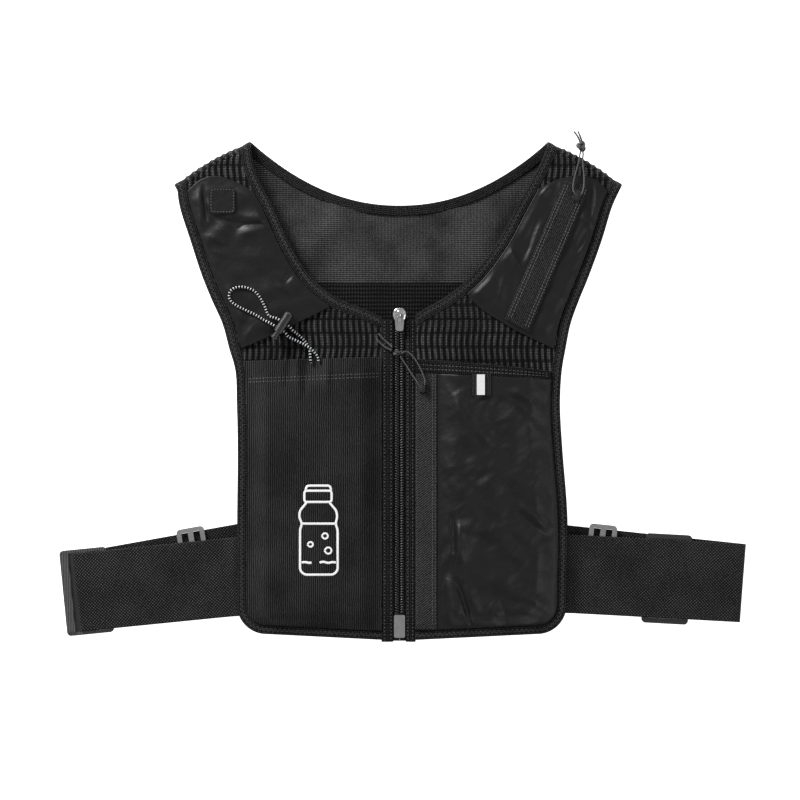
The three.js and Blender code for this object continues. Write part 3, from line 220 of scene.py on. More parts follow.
def curve_through(points, fine=60):
    """A smooth curve through points, as a function of the share of its length. Between two points it is
    a cubic whose end slopes follow the chords to the neighbours, weighed by the square roots of their
    lengths. The function gives the place and the unit heading."""
    p = np.asarray(points, float)
    p = np.vstack([2 * p[0] - p[1], p, 2 * p[-1] - p[-2]])
    a, b, c, d = p[:-3], p[1:-2], p[2:-1], p[3:]
    gap = np.sqrt(np.linalg.norm(np.diff(p, axis=0), axis=1))[:, None]
    ga, gb, gc = gap[:-2], gap[1:-1], gap[2:]
    start = ((b - a) / ga - (c - a) / (ga + gb) + (c - b) / gb) * gb
    end = ((c - b) / gb - (d - b) / (gb + gc) + (d - c) / gc) * gb
    t = (np.arange(fine) / fine)[None, :, None]
    b, c, start, end = (v[:, None, :] for v in (b, c, start, end))
    dense = (2 * t**3 - 3 * t**2 + 1) * b + (t**3 - 2 * t**2 + t) * start
    dense = dense + (3 * t**2 - 2 * t**3) * c + (t**3 - t**2) * end
    dense = np.vstack([dense.reshape(-1, p.shape[1]), p[-2]])
    run = run_lengths(dense)
    slope = np.gradient(dense, axis=0)

    def at(share):
        return read_at(share, run / run[-1], dense), unit(read_at(share, run / run[-1], slope))

    at.length = run[-1]
    return at


# %% [markdown]
# A surface becomes a mesh in one way: two grids of points, the cloth's face and its back, joined along
# the edge. The result is closed, as cloth with a real thickness is. Its UV map is in metres along the
# cloth, so that a weave follows it over folds.


# %% From grids to meshes
def quads(a, b, c, d):
    """Four arrays of corner numbers as rows of quads."""
    return np.stack([a, b, c, d], axis=-1).reshape(-1, 4)


def fan(tip, ring, after):
    """Triangles from one point to a ring; after holds each corner's next one."""
    return np.stack([np.full(len(ring), tip), ring, after], axis=-1)


def build_mesh(name, points, faces, uv=None, shade=None):
    """A mesh object from arrays. shade is a value from 0 to 1 for each point, for the material."""
    mesh = bpy.data.meshes.new(name)
    mesh.vertices.add(len(points))
    mesh.vertices.foreach_set("co", np.asarray(points, np.float32).ravel())
    sides = faces.shape[1]
    mesh.loops.add(faces.size)
    mesh.loops.foreach_set("vertex_index", faces.astype(np.int32).ravel())
    mesh.polygons.add(len(faces))
    mesh.polygons.foreach_set("loop_start", np.arange(0, faces.size, sides, dtype=np.int32))
    mesh.update(calc_edges=True)
    mesh.shade_smooth()
    if uv is not None:
        layer = mesh.uv_layers.new(name="Cloth")
        layer.data.foreach_set("uv", np.asarray(uv, np.float32)[faces.ravel()].ravel())
    if shade is not None:
        layer = mesh.attributes.new("shade", "FLOAT", "POINT")
        layer.data.foreach_set("value", np.asarray(shade, np.float32).ravel())
    piece = bpy.data.objects.new(name, mesh)
    bpy.context.scene.collection.objects.link(piece)
    return piece


# %% Closed pieces
def closed_grid(top, low):
    """The points, faces and UV map of a closed piece between two grids of points in metres."""
    rows, columns = top.shape[:2]
    count = rows * columns
    a = np.arange(count).reshape(rows, columns)
    b = a + count
    ring = np.concatenate([a[0, :-1], a[:-1, -1], a[-1, :0:-1], a[:0:-1, 0]])
    after = np.roll(ring, -1)
    faces = np.concatenate([
        quads(a[:-1, :-1], a[:-1, 1:], a[1:, 1:], a[1:, :-1]),
        quads(b[:-1, :-1], b[1:, :-1], b[1:, 1:], b[:-1, 1:]),
        quads(ring + count, after + count, after, ring),
    ])
    r, c = (rows - 1) // 2, (columns - 1) // 2
    outward = np.cross(top[r, c + 1] - top[r, c], top[r + 1, c] - top[r, c])
    if np.dot(outward, (top - low)[r, c]) < 0:
        faces = faces[:, ::-1]
    uv = pair(run_lengths(top, 1), run_lengths(top)).reshape(-1, 2)
    return np.concatenate([top.reshape(-1, 3), low.reshape(-1, 3)]), faces, np.tile(uv, (2, 1))


def shell(name, top, low, shade=None):
    """A closed piece between two grids of points, top and low, in metres."""
    points, faces, uv = closed_grid(top, low)
    if shade is not None:
        shade = np.tile(np.broadcast_to(shade, top.shape[:2]).ravel(), 2)
    return build_mesh(name, points, faces, uv, shade)


def joined(name, parts):
    """One mesh of several closed parts, each with its points, faces and UV map."""
    starts = np.cumsum([0] + [len(points) for points, _, _ in parts[:-1]])
    points, faces, uv = ([part[k] for part in parts] for k in range(3))
    faces = [face + start for face, start in zip(faces, starts)]
    return build_mesh(name, np.concatenate(points), np.concatenate(faces), np.concatenate(uv))


# %% Bars through rings
def loft(name, rings):
    """A closed bar through rings of points, an array of stations by sides by 3, with capped ends."""
    stations, sides = rings.shape[:2]
    count = stations * sides
    a = np.arange(count).reshape(stations, sides)
    b = np.roll(a, -1, axis=1)
    faces = quads(a[:-1], b[:-1], b[1:], a[1:])
    tris = np.concatenate([fan(count, b[0], a[0]), fan(count + 1, a[-1], b[-1])])
    middle = rings.mean(axis=1)
    points = np.concatenate([rings.reshape(-1, 3), middle[[0, -1]]])
    spoke = rings[0] - middle[0]
    turn = np.cross(spoke, np.roll(spoke, -1, axis=0)).sum(axis=0)
    if np.dot(turn, middle[1] - middle[0]) < 0:
        faces, tris = faces[:, ::-1], tris[:, ::-1]
    uv = pair(run_lengths(rings, 1), run_lengths(middle[:, None])).reshape(-1, 2)
    piece = build_mesh(name, points, faces, np.concatenate([uv, uv[[0, -1]]]))
    close_ends(piece, tris)
    return piece


def close_ends(piece, tris):
    """Adds the cap triangles to a lofted bar."""
    mesh = piece.data
    loops, polygons = len(mesh.loops), len(mesh.polygons)
    mesh.loops.add(tris.size)
    corners = np.empty(len(mesh.loops), np.int32)
    mesh.loops.foreach_get("vertex_index", corners)
    corners[loops:] = tris.ravel()
    mesh.loops.foreach_set("vertex_index", corners)
    mesh.polygons.add(len(tris))
    starts = np.empty(len(mesh.polygons), np.int32)
    mesh.polygons.foreach_get("loop_start", starts)
    starts[polygons:] = loops + np.arange(0, tris.size, 3)
    mesh.polygons.foreach_set("loop_start", starts)
    mesh.update(calc_edges=True)
    mesh.shade_smooth()


# %% [markdown]
# Cords are round bars along a curve. Stitches and teeth are many copies of one small ball, each drawn out
# along its own heading, all in one mesh.


# %% Round bars and scattered balls
UP = (0.0, 0.0, 1.0)


def tube(name, points, radius, sides=12, step=0.7):
    """A round bar through points, and its curve. The ring is carried along without a twist: at each
    station the last one's side is made square to the new heading."""
    curve = curve_through(points)
    centre, heading = curve(np.linspace(0, 1, int(curve.length / MM / step) + 2))
    across, ways = np.cross(heading[0], (0.3, 0.2, 1.0)), []
    for ahead in heading:
        across = unit(across - ahead * (across @ ahead))
        ways.append(across)
    ways = np.array(ways)[:, None]
    turn = full_turn(sides)[None, :, None]
    round_it = np.cos(turn) * ways + np.sin(turn) * np.cross(heading[:, None], ways)
    return loft(name, centre[:, None] + radius * MM * round_it), curve


def ball(levels=3, sides=8):
    """A unit ball round the x axis: rings of points between two poles, in triangles."""
    polar = np.linspace(0, math.pi, levels + 2)[1:-1]
    a, b = np.meshgrid(polar, full_turn(sides), indexing="ij")
    points = np.stack([np.cos(a), np.sin(a) * np.cos(b), np.sin(a) * np.sin(b)], axis=-1).reshape(-1, 3)
    count = levels * sides
    k = np.arange(count).reshape(levels, sides)
    n = np.roll(k, -1, axis=1)
    belt = quads(k[:-1], k[1:], n[1:], n[:-1])
    tris = [belt[:, :3], belt[:, [0, 2, 3]], fan(count, k[0], n[0]), fan(count + 1, n[-1], k[-1])]
    return np.concatenate([points, [(1, 0, 0), (-1, 0, 0)]]), np.concatenate(tris)


def scatter(name, centres, ways, half_sizes):
    """One mesh of balls at places in metres, with half sizes in millimetres along each one's heading,
    across it and upward."""
    points, tris = ball()
    along = unit(ways)[:, None]
    across = unit(np.cross(UP, along))
    local = points * np.asarray(half_sizes) * MM
    spread = local[:, :1] * along + local[:, 1:2] * across + local[:, 2:] * np.cross(along, across)
    faces = tris + np.arange(len(centres))[:, None, None] * len(points)
    uv = np.tile(local[:, :2], (len(centres), 1))
    return build_mesh(name, (centres[:, None] + spread).reshape(-1, 3), faces.reshape(-1, 3), uv)


def row(points, pitch, slant=0.0):
    """Stitches along a run of points: their centres and headings, leaning in turn to either side."""
    run = run_lengths(points)
    count = int(run[-1] / MM / pitch)
    wanted = (np.arange(count) + 0.5) * run[-1] / count
    way = unit(read_at(wanted, run, np.gradient(points, axis=0)))
    lean = slant * (-1.0) ** np.arange(count)
    return read_at(wanted, run, points), unit(way + np.cross(UP, way) * lean[:, None])


def seam(name, rows, half_sizes=(1.0, 0.32, 0.22)):
    """Rows of stitches as one mesh."""
    centres, ways = (np.concatenate([one[k] for one in rows]) for k in range(2))
    return scatter(name, centres, ways, half_sizes)


# %% [markdown]
# ## The vest's outline
#
# Each half has an outer edge, round the armhole, and a neckline. Both are smooth curves through a few
# places, given as shares of the vest's sizes. The cloth ends where the binding is sewn on, so an edge can
# be asked for with an inset.

# %% Tables of the edges
# Shares: height on the outer edge, then how far the left and the right half have widened
OUTER_EDGE = np.array([
    (0.09, 0.01, 0.09), (0.275, 0.01, 0.105), (0.425, 0, 0.02), (0.525, 0.015, -0.02),
    (0.6, 0.04, 0.01), (0.65, 0.145, 0.075), (0.705, 0.26, 0.16), (0.755, 0.43, 0.295),
    (0.81, 0.6, 0.465), (0.89, 0.8, 0.685), (0.965, 0.98, 0.86), (1, 1.02, 0.98),
])
# Shares: rise from the neckline's base, then how far out the left and the right half lie
NECK_EDGE = np.array([
    (0, 0.1, 0.07), (0.055, 0.235, 0.165), (0.13, 0.44, 0.315), (0.25, 0.605, 0.485),
    (0.445, 0.745, 0.66), (0.665, 0.86, 0.8), (0.83, 0.96, 0.905), (0.91, 0.995, 0.955), (1, 1.01, 1),
])
print("places on the two edges:", len(OUTER_EDGE), len(NECK_EDGE))


# %% The two halves and their edges
class Half:
    """One half of the vest: its name, its side of the zip and its two edge curves."""

    def __init__(self, name, sign, column):
        self.name, self.sign = name, sign
        up, wide = OUTER_EDGE[:, 0] * OUTER_UP, OUTER_EDGE[:, column]
        wide = WAIST_HALF + wide * (SHOULDER_HALF - WAIST_HALF)
        up[0] = HEM_RISE + CORNER_RADIUS
        self.outer = curve_through(pair(wide, up))
        rise = mix(NECK_BASE, BODY_HEIGHT, NECK_EDGE[:, 0])
        self.neck = curve_through(pair(NECK_EDGE[:, column] * NECK_HALF, rise))
        self.corner = np.array([wide[0] - CORNER_RADIUS, HEM_RISE + CORNER_RADIUS])
        self.placket_far = PLACKET_NEAR + PLACKET_WIDTH[name]


LEFT = Half("left", -1, 1)
RIGHT = Half("right", 1, 2)
HALVES = (LEFT, RIGHT)
print("outer edge of the left half:", round(LEFT.outer.length), "mm")

# %% Edges with an inset
RIDGE_IN = unit([NECK_HALF - SHOULDER_HALF, SHOULDER_DROP])
RIDGE_OUT = np.array([RIDGE_IN[1], -RIDGE_IN[0]])
CORNER_SHARE = 0.06
NECK_SHARE = 0.66
FOLD_BLEND = 0.1


def place(side, p, z):
    """A half's own d and y, and a height, as points in metres."""
    x, y, z = np.broadcast_arrays(ZIP_X + side.sign * p[..., 0], HEM_Y + p[..., 1], z)
    return np.stack([x, y, z], axis=-1) * MM


def inset_from(curve, t, inset, turn, ridge, blend):
    """A point moved in from an edge along its normal, or along the shoulder fold's line close to it."""
    p, run = curve(t)
    normal = pair(-run[..., 1] * turn, run[..., 0] * turn)
    way = unit(mix(normal, ridge, blend[..., None]))
    reach = np.asarray(inset) / (way * normal).sum(axis=-1)
    return p + way * reach[..., None]


def outer_edge(side, h, inset):
    """The outer edge: a quarter circle at the hem corner, then the armhole's curve up to the fold."""
    h = np.asarray(h, float)
    angle = (h / CORNER_SHARE - 1) * math.pi / 2
    corner = side.corner + pair(np.cos(angle), np.sin(angle)) * (CORNER_RADIUS - np.asarray(inset))[..., None]
    t = np.clip((h - CORNER_SHARE) / (1 - CORNER_SHARE), 0, 1)
    along = inset_from(side.outer, t, inset, 1, RIDGE_IN, smooth((h - 1) / FOLD_BLEND + 1))
    return np.where((h < CORNER_SHARE)[..., None], corner, along)


def neck_edge(side, t, inset):
    """The front neckline from its base, 0, to the shoulder fold, 1."""
    t = np.clip(np.asarray(t, float), 0, 1)
    return inset_from(side.neck, t, inset, -1, -RIDGE_IN, smooth((t - 1) / FOLD_BLEND / 2 + 1))


def hem_at(side, d):
    """How much higher than at the zip the hem is, rising evenly to the corner."""
    return HEM_RISE * d / side.corner[0]


# %% Points of a front half
def inner_edge(side, h, inset):
    """The cloth's inner edge: up along the placket, then along the neckline."""
    h = np.asarray(h, float)
    near = side.placket_far + SEAT
    base = neck_edge(side, 0.0, inset)[..., 1]
    low = pair(near + 0 * h, mix(hem_at(side, near) + inset, base, h / NECK_SHARE))
    high = neck_edge(side, (h - NECK_SHARE) / (1 - NECK_SHARE), inset)
    high = pair(np.maximum(near, high[..., 0]), high[..., 1])
    return np.where((h < NECK_SHARE)[..., None], low, high)


def front_point(side, u, h, inset=CLOTH_INSET):
    """A point of a front half: a share u from the outer edge to the inner, h from hem to fold."""
    u, h = np.broadcast_arrays(np.asarray(u, float), np.asarray(h, float))
    p = mix(outer_edge(side, h, inset), inner_edge(side, h, inset), u[..., None])
    return p + RIDGE_OUT * (RIDGE_BULGE * 4 * u * (1 - u) * h**10)[..., None]


def share_at(side, y):
    """The share of the edge's run at which the cloth is y above the hem."""
    base = neck_edge(side, 0.0, CLOTH_INSET)[1]
    return NECK_SHARE * (y - CLOTH_INSET) / (base - CLOTH_INSET)


def grid(across, up, from_u=0, to_u=1, from_v=0, to_v=1):
    """Two arrays of shares, one value for each point of a grid."""
    return np.meshgrid(np.linspace(from_u, to_u, across), np.linspace(from_v, to_v, up))


def lay(name, side, p, top, low, shade=None):
    """A closed piece of one half, between two heights over the same places."""
    return shell(name, place(side, p, top), place(side, p, low), shade)

# %% [markdown]
# ## Creases
#
# Cloth creases where it is pulled or has been folded. A table of creases gives each one's line and its
# width and height. Across a crease the height is a bell curve, and at its ends it dies away. A groove is
# a crease of negative height. The small wrinkles between them are a sum of slanting waves that bend each
# other, drawn from a seeded generator, so that they come out the same each time.


# %% Creases and wrinkles
CREASE_ENDS = 0.45  # the share of its height that a crease keeps at its ends


def creases(table, p):
    """The height that a table of creases adds: each row is x0, y0, x1, y1, width and height in mm."""
    x, y = p[..., 0], p[..., 1]
    height = np.zeros_like(x)
    for x0, y0, x1, y1, width, high in table:
        run = np.array([x1 - x0, y1 - y0])
        along = ((x - x0) * run[0] + (y - y0) * run[1]) / (run @ run)
        t = np.clip(along, 0, 1)
        off = np.hypot(x - x0 - run[0] * t, y - y0 - run[1] * t)
        height = height + high * bell(off / width) * mix(CREASE_ENDS, 1, np.sin(math.pi * t) ** 0.6)
    return height


def wrinkles(seed, p, length, high, lean=0.0, spread=0.9, count=9):
    """Small wrinkles: waves of random heading and length, each bent by the ones before it."""
    rng = np.random.default_rng(seed)
    x, y = p[..., 0], p[..., 1]
    height, bend = np.zeros_like(x), np.zeros_like(x)
    for _ in range(count):
        angle = lean + rng.normal(0, spread)
        wave = length * rng.uniform(0.6, 1.8)
        turn = rng.uniform(0, 2 * math.pi)
        phase = (x * math.cos(angle) + y * math.sin(angle)) * 2 * math.pi / wave + turn + bend
        height = height + np.sin(phase) * wave / length
        bend = bend + 0.8 * np.sin(phase * 0.37 + turn)
    return high * height / count**0.5


# %% [markdown]
# ## The back
#
# The yoke is a fine mesh panel that shows through the neck opening. It is a patch worked out from its
# four edges: each point is the mean of the two ways across, less the flat patch between the corners. It
# rises in soft folds, because the mesh is wider than the space that it lies in.

# %% Shapes of the back
BACK_NECK_HALF = NECK_HALF + 1 + RIDGE_IN[0] * NECK_TURN
BACK_NECK_TOP = BODY_HEIGHT + RIDGE_IN[1] * NECK_TURN
TROUGH = 2.1
NECK_FROM = 0.2
# Shares of the neck's half width and of the yoke's height, then width and height in millimetres
BACK_FOLDS = [(-0.37, 0.56, -0.72, 0.14, 12, 3.2), (0.37, 0.5, 0.68, 0.18, 12, 3)]


def back_neck(x, inset):
    """The back neckline, a trough that deepens with a power of the distance from the middle."""
    x = np.asarray(x, float)
    share = np.abs(x) / BACK_NECK_HALF
    y = BACK_NECK_TOP - BACK_NECK_DROP * (1 - share**TROUGH)
    slope = np.sign(x) * BACK_NECK_DROP * TROUGH * share ** (TROUGH - 1) / BACK_NECK_HALF
    normal = unit(pair(slope, -1))
    away = pair(-RIDGE_IN[0] * np.sign(x), -RIDGE_IN[1])
    way = unit(mix(normal, away, smooth((share - 0.85) / 0.15)[..., None]))
    reach = np.asarray(inset) / (way * normal).sum(axis=-1)
    return pair(x, y) + way * reach[..., None]


def yoke_share(side):
    """Where along the outer edge's run the yoke starts."""
    t = np.linspace(0, 1, 2000)
    height = side.outer(t)[0][:, 1]
    return CORNER_SHARE + (1 - CORNER_SHARE) * np.interp(YOKE_SEAM, height, t)


YOKE_FROM = {side.name: yoke_share(side) for side in HALVES}
print("the yoke starts at shares of the edges:", {key: round(at, 3) for key, at in YOKE_FROM.items()})


# %% The yoke's patch
def wide(side, p):
    """A half's own point as one across both halves, as the right half counts."""
    return pair(side.sign * p[..., 0], p[..., 1])


def yoke_top(u):
    """The yoke's top edge: a shoulder, the neckline and the other shoulder."""
    u = np.asarray(u, float)
    share = (u - NECK_FROM) / (1 - 2 * NECK_FROM)
    neck = back_neck(mix(-BACK_NECK_HALF, BACK_NECK_HALF, np.clip(share, 0, 1)), CLOTH_INSET)
    ends = []
    for side, t in ((LEFT, u / NECK_FROM), (RIGHT, (1 - u) / NECK_FROM)):
        inner = back_neck(side.sign * BACK_NECK_HALF, CLOTH_INSET)
        ends.append(mix(wide(side, outer_edge(side, 1.0, CLOTH_INSET)), inner, t[..., None]))
    left, right = (u < NECK_FROM)[..., None], (u > 1 - NECK_FROM)[..., None]
    return np.where(left, ends[0], np.where(right, ends[1], neck))


def yoke_side(side, v):
    """The yoke's edge at one armhole."""
    return wide(side, outer_edge(side, mix(YOKE_FROM[side.name], 1, v), CLOTH_INSET))


def yoke_point(u, v):
    """A patch between four edges: the two ways across added, less the flat patch of the corners."""
    u3, v3 = u[..., None], v[..., None]
    low = mix(yoke_side(LEFT, 0.0), yoke_side(RIGHT, 0.0), u3)
    high = mix(yoke_top(0.0), yoke_top(1.0), u3)
    upward = mix(yoke_side(LEFT, v), yoke_side(RIGHT, v), u3)
    across = mix(low, yoke_top(u), v3)
    return upward + across - mix(low, high, v3)


def back_lift(p):
    """How far the yoke's folds lift it, fading at its seam."""
    rise = BODY_HEIGHT - YOKE_SEAM
    table = [(a * NECK_HALF, b * rise, c * NECK_HALF, d * rise, w, h) for a, b, c, d, w, h in BACK_FOLDS]
    over = p - (0, YOKE_SEAM)
    soft = wrinkles(3, p, 55, 0.25, lean=0.3)
    return smooth(over[..., 1] / rise / 0.12) * np.maximum(0, creases(table, over) + soft)


# %% Make the yoke and the lower back
u, v = grid(220, 90)
p = yoke_point(u, v)
lift = back_lift(p)
back_yoke = lay("yoke_mesh", RIGHT, p, lift + BACK_CLOTH, lift)

u, v = grid(120, 180)
UNDER_YOKE = 0.006  # how far the lower back runs on under the yoke, as a share of the edge
left, right = (
    wide(side, outer_edge(side, v * (YOKE_FROM[side.name] + UNDER_YOKE), CLOTH_INSET)) for side in HALVES
)
p = mix(left, right, u[..., None])
back_lower = lay("lower_back_mesh", RIGHT, p, BACK_CLOTH - 0.2, 0)
print("yoke:", len(back_yoke.data.polygons), "faces")

# %% [markdown]
# ## The ribbed spacer mesh
#
# The body's own cloth is a spacer mesh: upright cords stand about 4.5 mm apart over an open ground, and
# they are tied in rows about 10 mm tall. The cords are real relief here, because they are wide enough to
# catch the light one by one. The same height is kept as an attribute named shade, and the material paints
# shade with it, darkening the ground between the cords.

# %% Front mesh and shoulder folds
RIB_PITCH = 4.5
RIB_ROW = 10.5
RIB_HIGH = 0.75
RIB_SWAY = 0.4
RIB_TIE = 0.16  # the share of a row that its tie takes at each end
RIB_PINCHED = 0.25  # a cord's height where it is tied
GROUND_DEEP = 0.45
CORD_PROUD = 0.2


def rib_relief(x, y):
    """Height of the cords from 0 to 1: a cosine across them, pinched where a row is tied, and every
    other row half a cord out of step at its ends."""
    row = y / RIB_ROW
    within = row - np.floor(row)
    sway = 0.35 * np.sin(row * 2.1 + x * 0.02) + 0.12 * np.sin(x * 0.9 + np.floor(row) * 2.4)
    cord = 0.5 + 0.5 * np.cos(2 * math.pi * (x / RIB_PITCH + sway * RIB_SWAY))
    tied = smooth(np.minimum(within, 1 - within) / RIB_TIE)
    return cord**1.3 * mix(RIB_PINCHED, 1, tied)


def front_mesh(side):
    """A front half on its grid, with the cords on its face."""
    u, h = grid(150, 330)
    p = front_point(side, u, h)
    p = p - RIDGE_OUT * (SEAT / 2 * (h > 0.999))[..., None]
    rib = rib_relief(p[..., 0], p[..., 1])
    top = FRONT_TOP + (CORD_PROUD * rib - GROUND_DEEP * (1 - rib)) * plateau(u, 100, 9)
    return lay(f"spacer_mesh_{side.name}", side, p, top, FRONT_LOW, rib)


def over_fold(side, p, turn, low, away=0.0):
    """A point carried round the shoulder: a half circle from the front's level down to the back's."""
    angle = turn * math.pi
    radius = (FRONT_MID - low) / 2 + away
    z = (FRONT_MID + low) / 2 + radius * np.cos(angle)
    return place(side, p + RIDGE_OUT * (radius * np.sin(angle))[..., None], z)


def shoulder_fold(side):
    """The mesh over the shoulder, between the front's end and the back's."""
    u, turn = grid(90, 40)
    outer = outer_edge(side, np.ones_like(u), CLOTH_INSET)
    inner = mix(neck_edge(side, 1.0, CLOTH_INSET), back_neck(BACK_NECK_HALF, CLOTH_INSET), turn[..., None])
    p = mix(outer, inner, u[..., None])
    p = p + RIDGE_OUT * (RIDGE_BULGE * 4 * u * (1 - u) * (1 - turn))[..., None]
    half = BACK_CLOTH / 2
    run = turn * math.pi * (FRONT_MID - half) / 2
    rib = rib_relief(p[..., 0], BODY_HEIGHT + run)
    proud = rib * RIB_HIGH * plateau(u, 55, 4) * plateau(turn, 1, 0.2)
    top, low = (over_fold(side, p, turn, half, away) for away in (half + proud, -half))
    return shell(f"shoulder_mesh_{side.name}", top, low, rib)


spacer = {side.name: front_mesh(side) for side in HALVES}
folds = {side.name: shoulder_fold(side) for side in HALVES}
print("front mesh:", len(spacer["left"].data.polygons), "faces a side")

# %% [markdown]
# ## The bindings
#
# A binding is an elastic tape folded over the cloth's edge and sewn down with a zigzag. Its section is
# carried along the edge: round at the fold, flat on its faces and pressed in where the stitches hold it.
# The side bindings run from the zip along the hem, up the armhole, over the shoulder and back down
# behind. The neck's binding runs up one side of the neckline, round the back and down the other.

# %% Sections and stations of a binding
BAND_RING = 20
BAND_STEP = 1.4  # millimetres between stations
BAND_SEAM = 0.72  # where the zigzag holds it down, as a share of its width


def band_section():
    """A binding's section: shares across the tape and through its thickness, round at the fold."""
    angle = full_turn(BAND_RING)
    across = 0.5 - 0.5 * signed_power(np.cos(angle), 0.6)
    out = 0.5 * signed_power(np.sin(angle), 0.42)
    pressed = 1 - 0.16 * bell((across - BAND_SEAM) / 0.14) - 0.1 * (across > 0.93)
    return across, out * pressed


def band(name, parts, seed):
    """A tape through parts that follow each other, each with its fold, its sewn edge and its face's
    directions. The stations are evenly spaced along the tape's middle."""
    outer, inner, normal = (np.concatenate([part[k] for part in parts]) for k in range(3))
    run = run_lengths((outer + inner) / 2)
    wanted = np.linspace(0, run[-1], int(run[-1] / MM / BAND_STEP))
    outer, inner, normal = (read_at(wanted, run, rows) for rows in (outer, inner, normal))
    across, out = band_section()
    run = run_lengths(outer) / MM
    swell = 1 + 0.07 * np.sin(run * 2 * math.pi / 3.1 + seed) + 0.05 * np.sin(run * 0.7)
    fold = outer[:, None] + (inner - outer)[:, None] * across[None, :, None]
    high = (out[None, :] * swell[:, None] * BINDING_THICK * MM)[..., None]
    return loft(name, fold + unit(normal)[:, None] * high)


def turned_tape(side, outer, inner):
    """A tape's stations round the shoulder fold; outer and inner give its edges at a turn."""
    turn = np.linspace(0, 1, 24)[1:-1]
    reach = np.sin(turn * math.pi)
    normal = np.stack([side.sign * RIDGE_OUT[0] * reach, RIDGE_OUT[1] * reach, np.cos(turn * math.pi)], 1)
    return *(over_fold(side, edge(turn), turn, BINDING_THICK / 2) for edge in (outer, inner)), normal


def flat_tape(side, outer, inner, z, up):
    """A tape's stations where it lies flat; up is 1 on the front and -1 on the back."""
    normal = np.tile([0.0, 0.0, up], (len(outer), 1))
    return place(side, outer, z), place(side, inner, z), normal


def reverse(stations):
    """A tape's stations from their end to their start."""
    return tuple(rows[::-1] for rows in stations)


# %% Make the bindings
def side_binding(side):
    """The hem's tape, the armhole's, the turn over the shoulder, and both again behind."""
    h = np.linspace(0, 1, 900)

    def hem(start):
        d = np.linspace(start, side.corner[0], 60)[:-1]
        return pair(d, hem_at(side, d)), pair(d, hem_at(side, d) + BINDING_WIDTH)

    def ridge(inset):
        return lambda turn: outer_edge(side, np.ones_like(turn), inset)

    armhole = outer_edge(side, h, 0.0), outer_edge(side, h, BINDING_WIDTH)
    top, low = FRONT_MID, BINDING_THICK / 2
    return band(f"edge_tape_{side.name}", [
        flat_tape(side, *hem(side.placket_far + SEAT), top, 1),
        flat_tape(side, *armhole, top, 1),
        turned_tape(side, ridge(0.0), ridge(BINDING_WIDTH)),
        reverse(flat_tape(side, *armhole, low, -1)),
        reverse(flat_tape(side, *hem(SEAT / 2), low, -1)),
    ], side.sign)


def neck_side(side):
    """The neck tape's stations on one front and round its shoulder."""
    t = np.linspace(0, 1, 400)
    near = side.placket_far + SEAT

    def front(inset):
        p = neck_edge(side, t, inset)
        return pair(np.maximum(p[..., 0], near), p[..., 1])

    def ridge(inset):
        start, end = neck_edge(side, 1.0, inset), back_neck(BACK_NECK_HALF, inset)
        return lambda turn: mix(start, end, turn[:, None])

    flat = flat_tape(side, front(0.0), front(BINDING_WIDTH), FRONT_MID, 1)
    over = turned_tape(side, ridge(0.0), ridge(BINDING_WIDTH))
    return tuple(np.concatenate(rows) for rows in zip(flat, over))


def neck_binding():
    """One tape: up the left front, round the back of the neck, down the right front."""
    x = np.linspace(-BACK_NECK_HALF, BACK_NECK_HALF, 300)
    back = flat_tape(RIGHT, back_neck(x, 0.0), back_neck(x, BINDING_WIDTH), BINDING_THICK / 2, -1)
    return band("neck_tape", [neck_side(LEFT), back, reverse(neck_side(RIGHT))], 2)


tapes = {side.name: side_binding(side) for side in HALVES}
neck_tape = neck_binding()
print("neck tape:", len(neck_tape.data.polygons), "faces")

# %% [markdown]
# ## The flask pocket
#
# This pocket is a fine rib knit that stands off the vest, so that a soft flask fits behind it. It rises
# from its sewn edges within a lip's width. Halfway along its mouth a tuck holds it down, and the cord's
# two ends are sewn in there.

# %% Flask pocket
FLASK_CREASES = [
    (77, 212, 75, 184, 2.6, 1.1), (70, 213, 70, 186, 2.0, -1.0), (55, 213, 54, 188, 2.2, 1.0),
    (50, 212, 49, 192, 2.4, -0.9), (82, 212, 84, 190, 3.0, -0.8), (40, 211, 36, 196, 3, 0.6),
    (110, 200, 84, 176, 6, 0.9), (30, 60, 60, 22, 9, 0.6), (104, 60, 88, 24, 7, 0.7),
    (100, 150, 70, 120, 12, 0.5), (40, 150, 60, 118, 10, 0.4),
]


def flask_soft(p):
    """The height of the knit's creases and wrinkles."""
    return creases(FLASK_CREASES, p) + wrinkles(11, p, 45, 0.38)


def flask_point(u, v):
    """The knit's place and underside: a plateau that rises from its seams, less the tuck at its mouth."""
    span = WAIST_HALF - LEFT.placket_far - CLOTH_INSET
    p = front_point(LEFT, u, v * share_at(LEFT, FLASK_TOP))
    rise = plateau(u, span, POCKET_LIP) * smooth(v * FLASK_TOP / POCKET_LIP)
    across = np.exp(-(((p[..., 0] - TUCK_AT) / TUCK_HALF) ** 4))
    tuck = across * smooth(1 - (1 - v) * FLASK_TOP / TUCK_LONG)
    height = rise * (POCKET_DEPTH - tuck * (POCKET_DEPTH - TUCK_LEFT) + (1 - tuck) * flask_soft(p))
    return p, LAYER + height


u, v = grid(150, 300)
p, low = flask_point(u, v)
flask_pocket = lay("flask_pocket_knit", LEFT, p, low + KNIT, low)
print("flask pocket:", len(flask_pocket.data.polygons), "faces")

# %% [markdown]
# ## The phone pocket
#
# The phone pocket is satin, a close weave that shines where it bends. Satin keeps its creases: a deep one
# runs down from the middle of the zip side, and finer ones fan out from the corners.

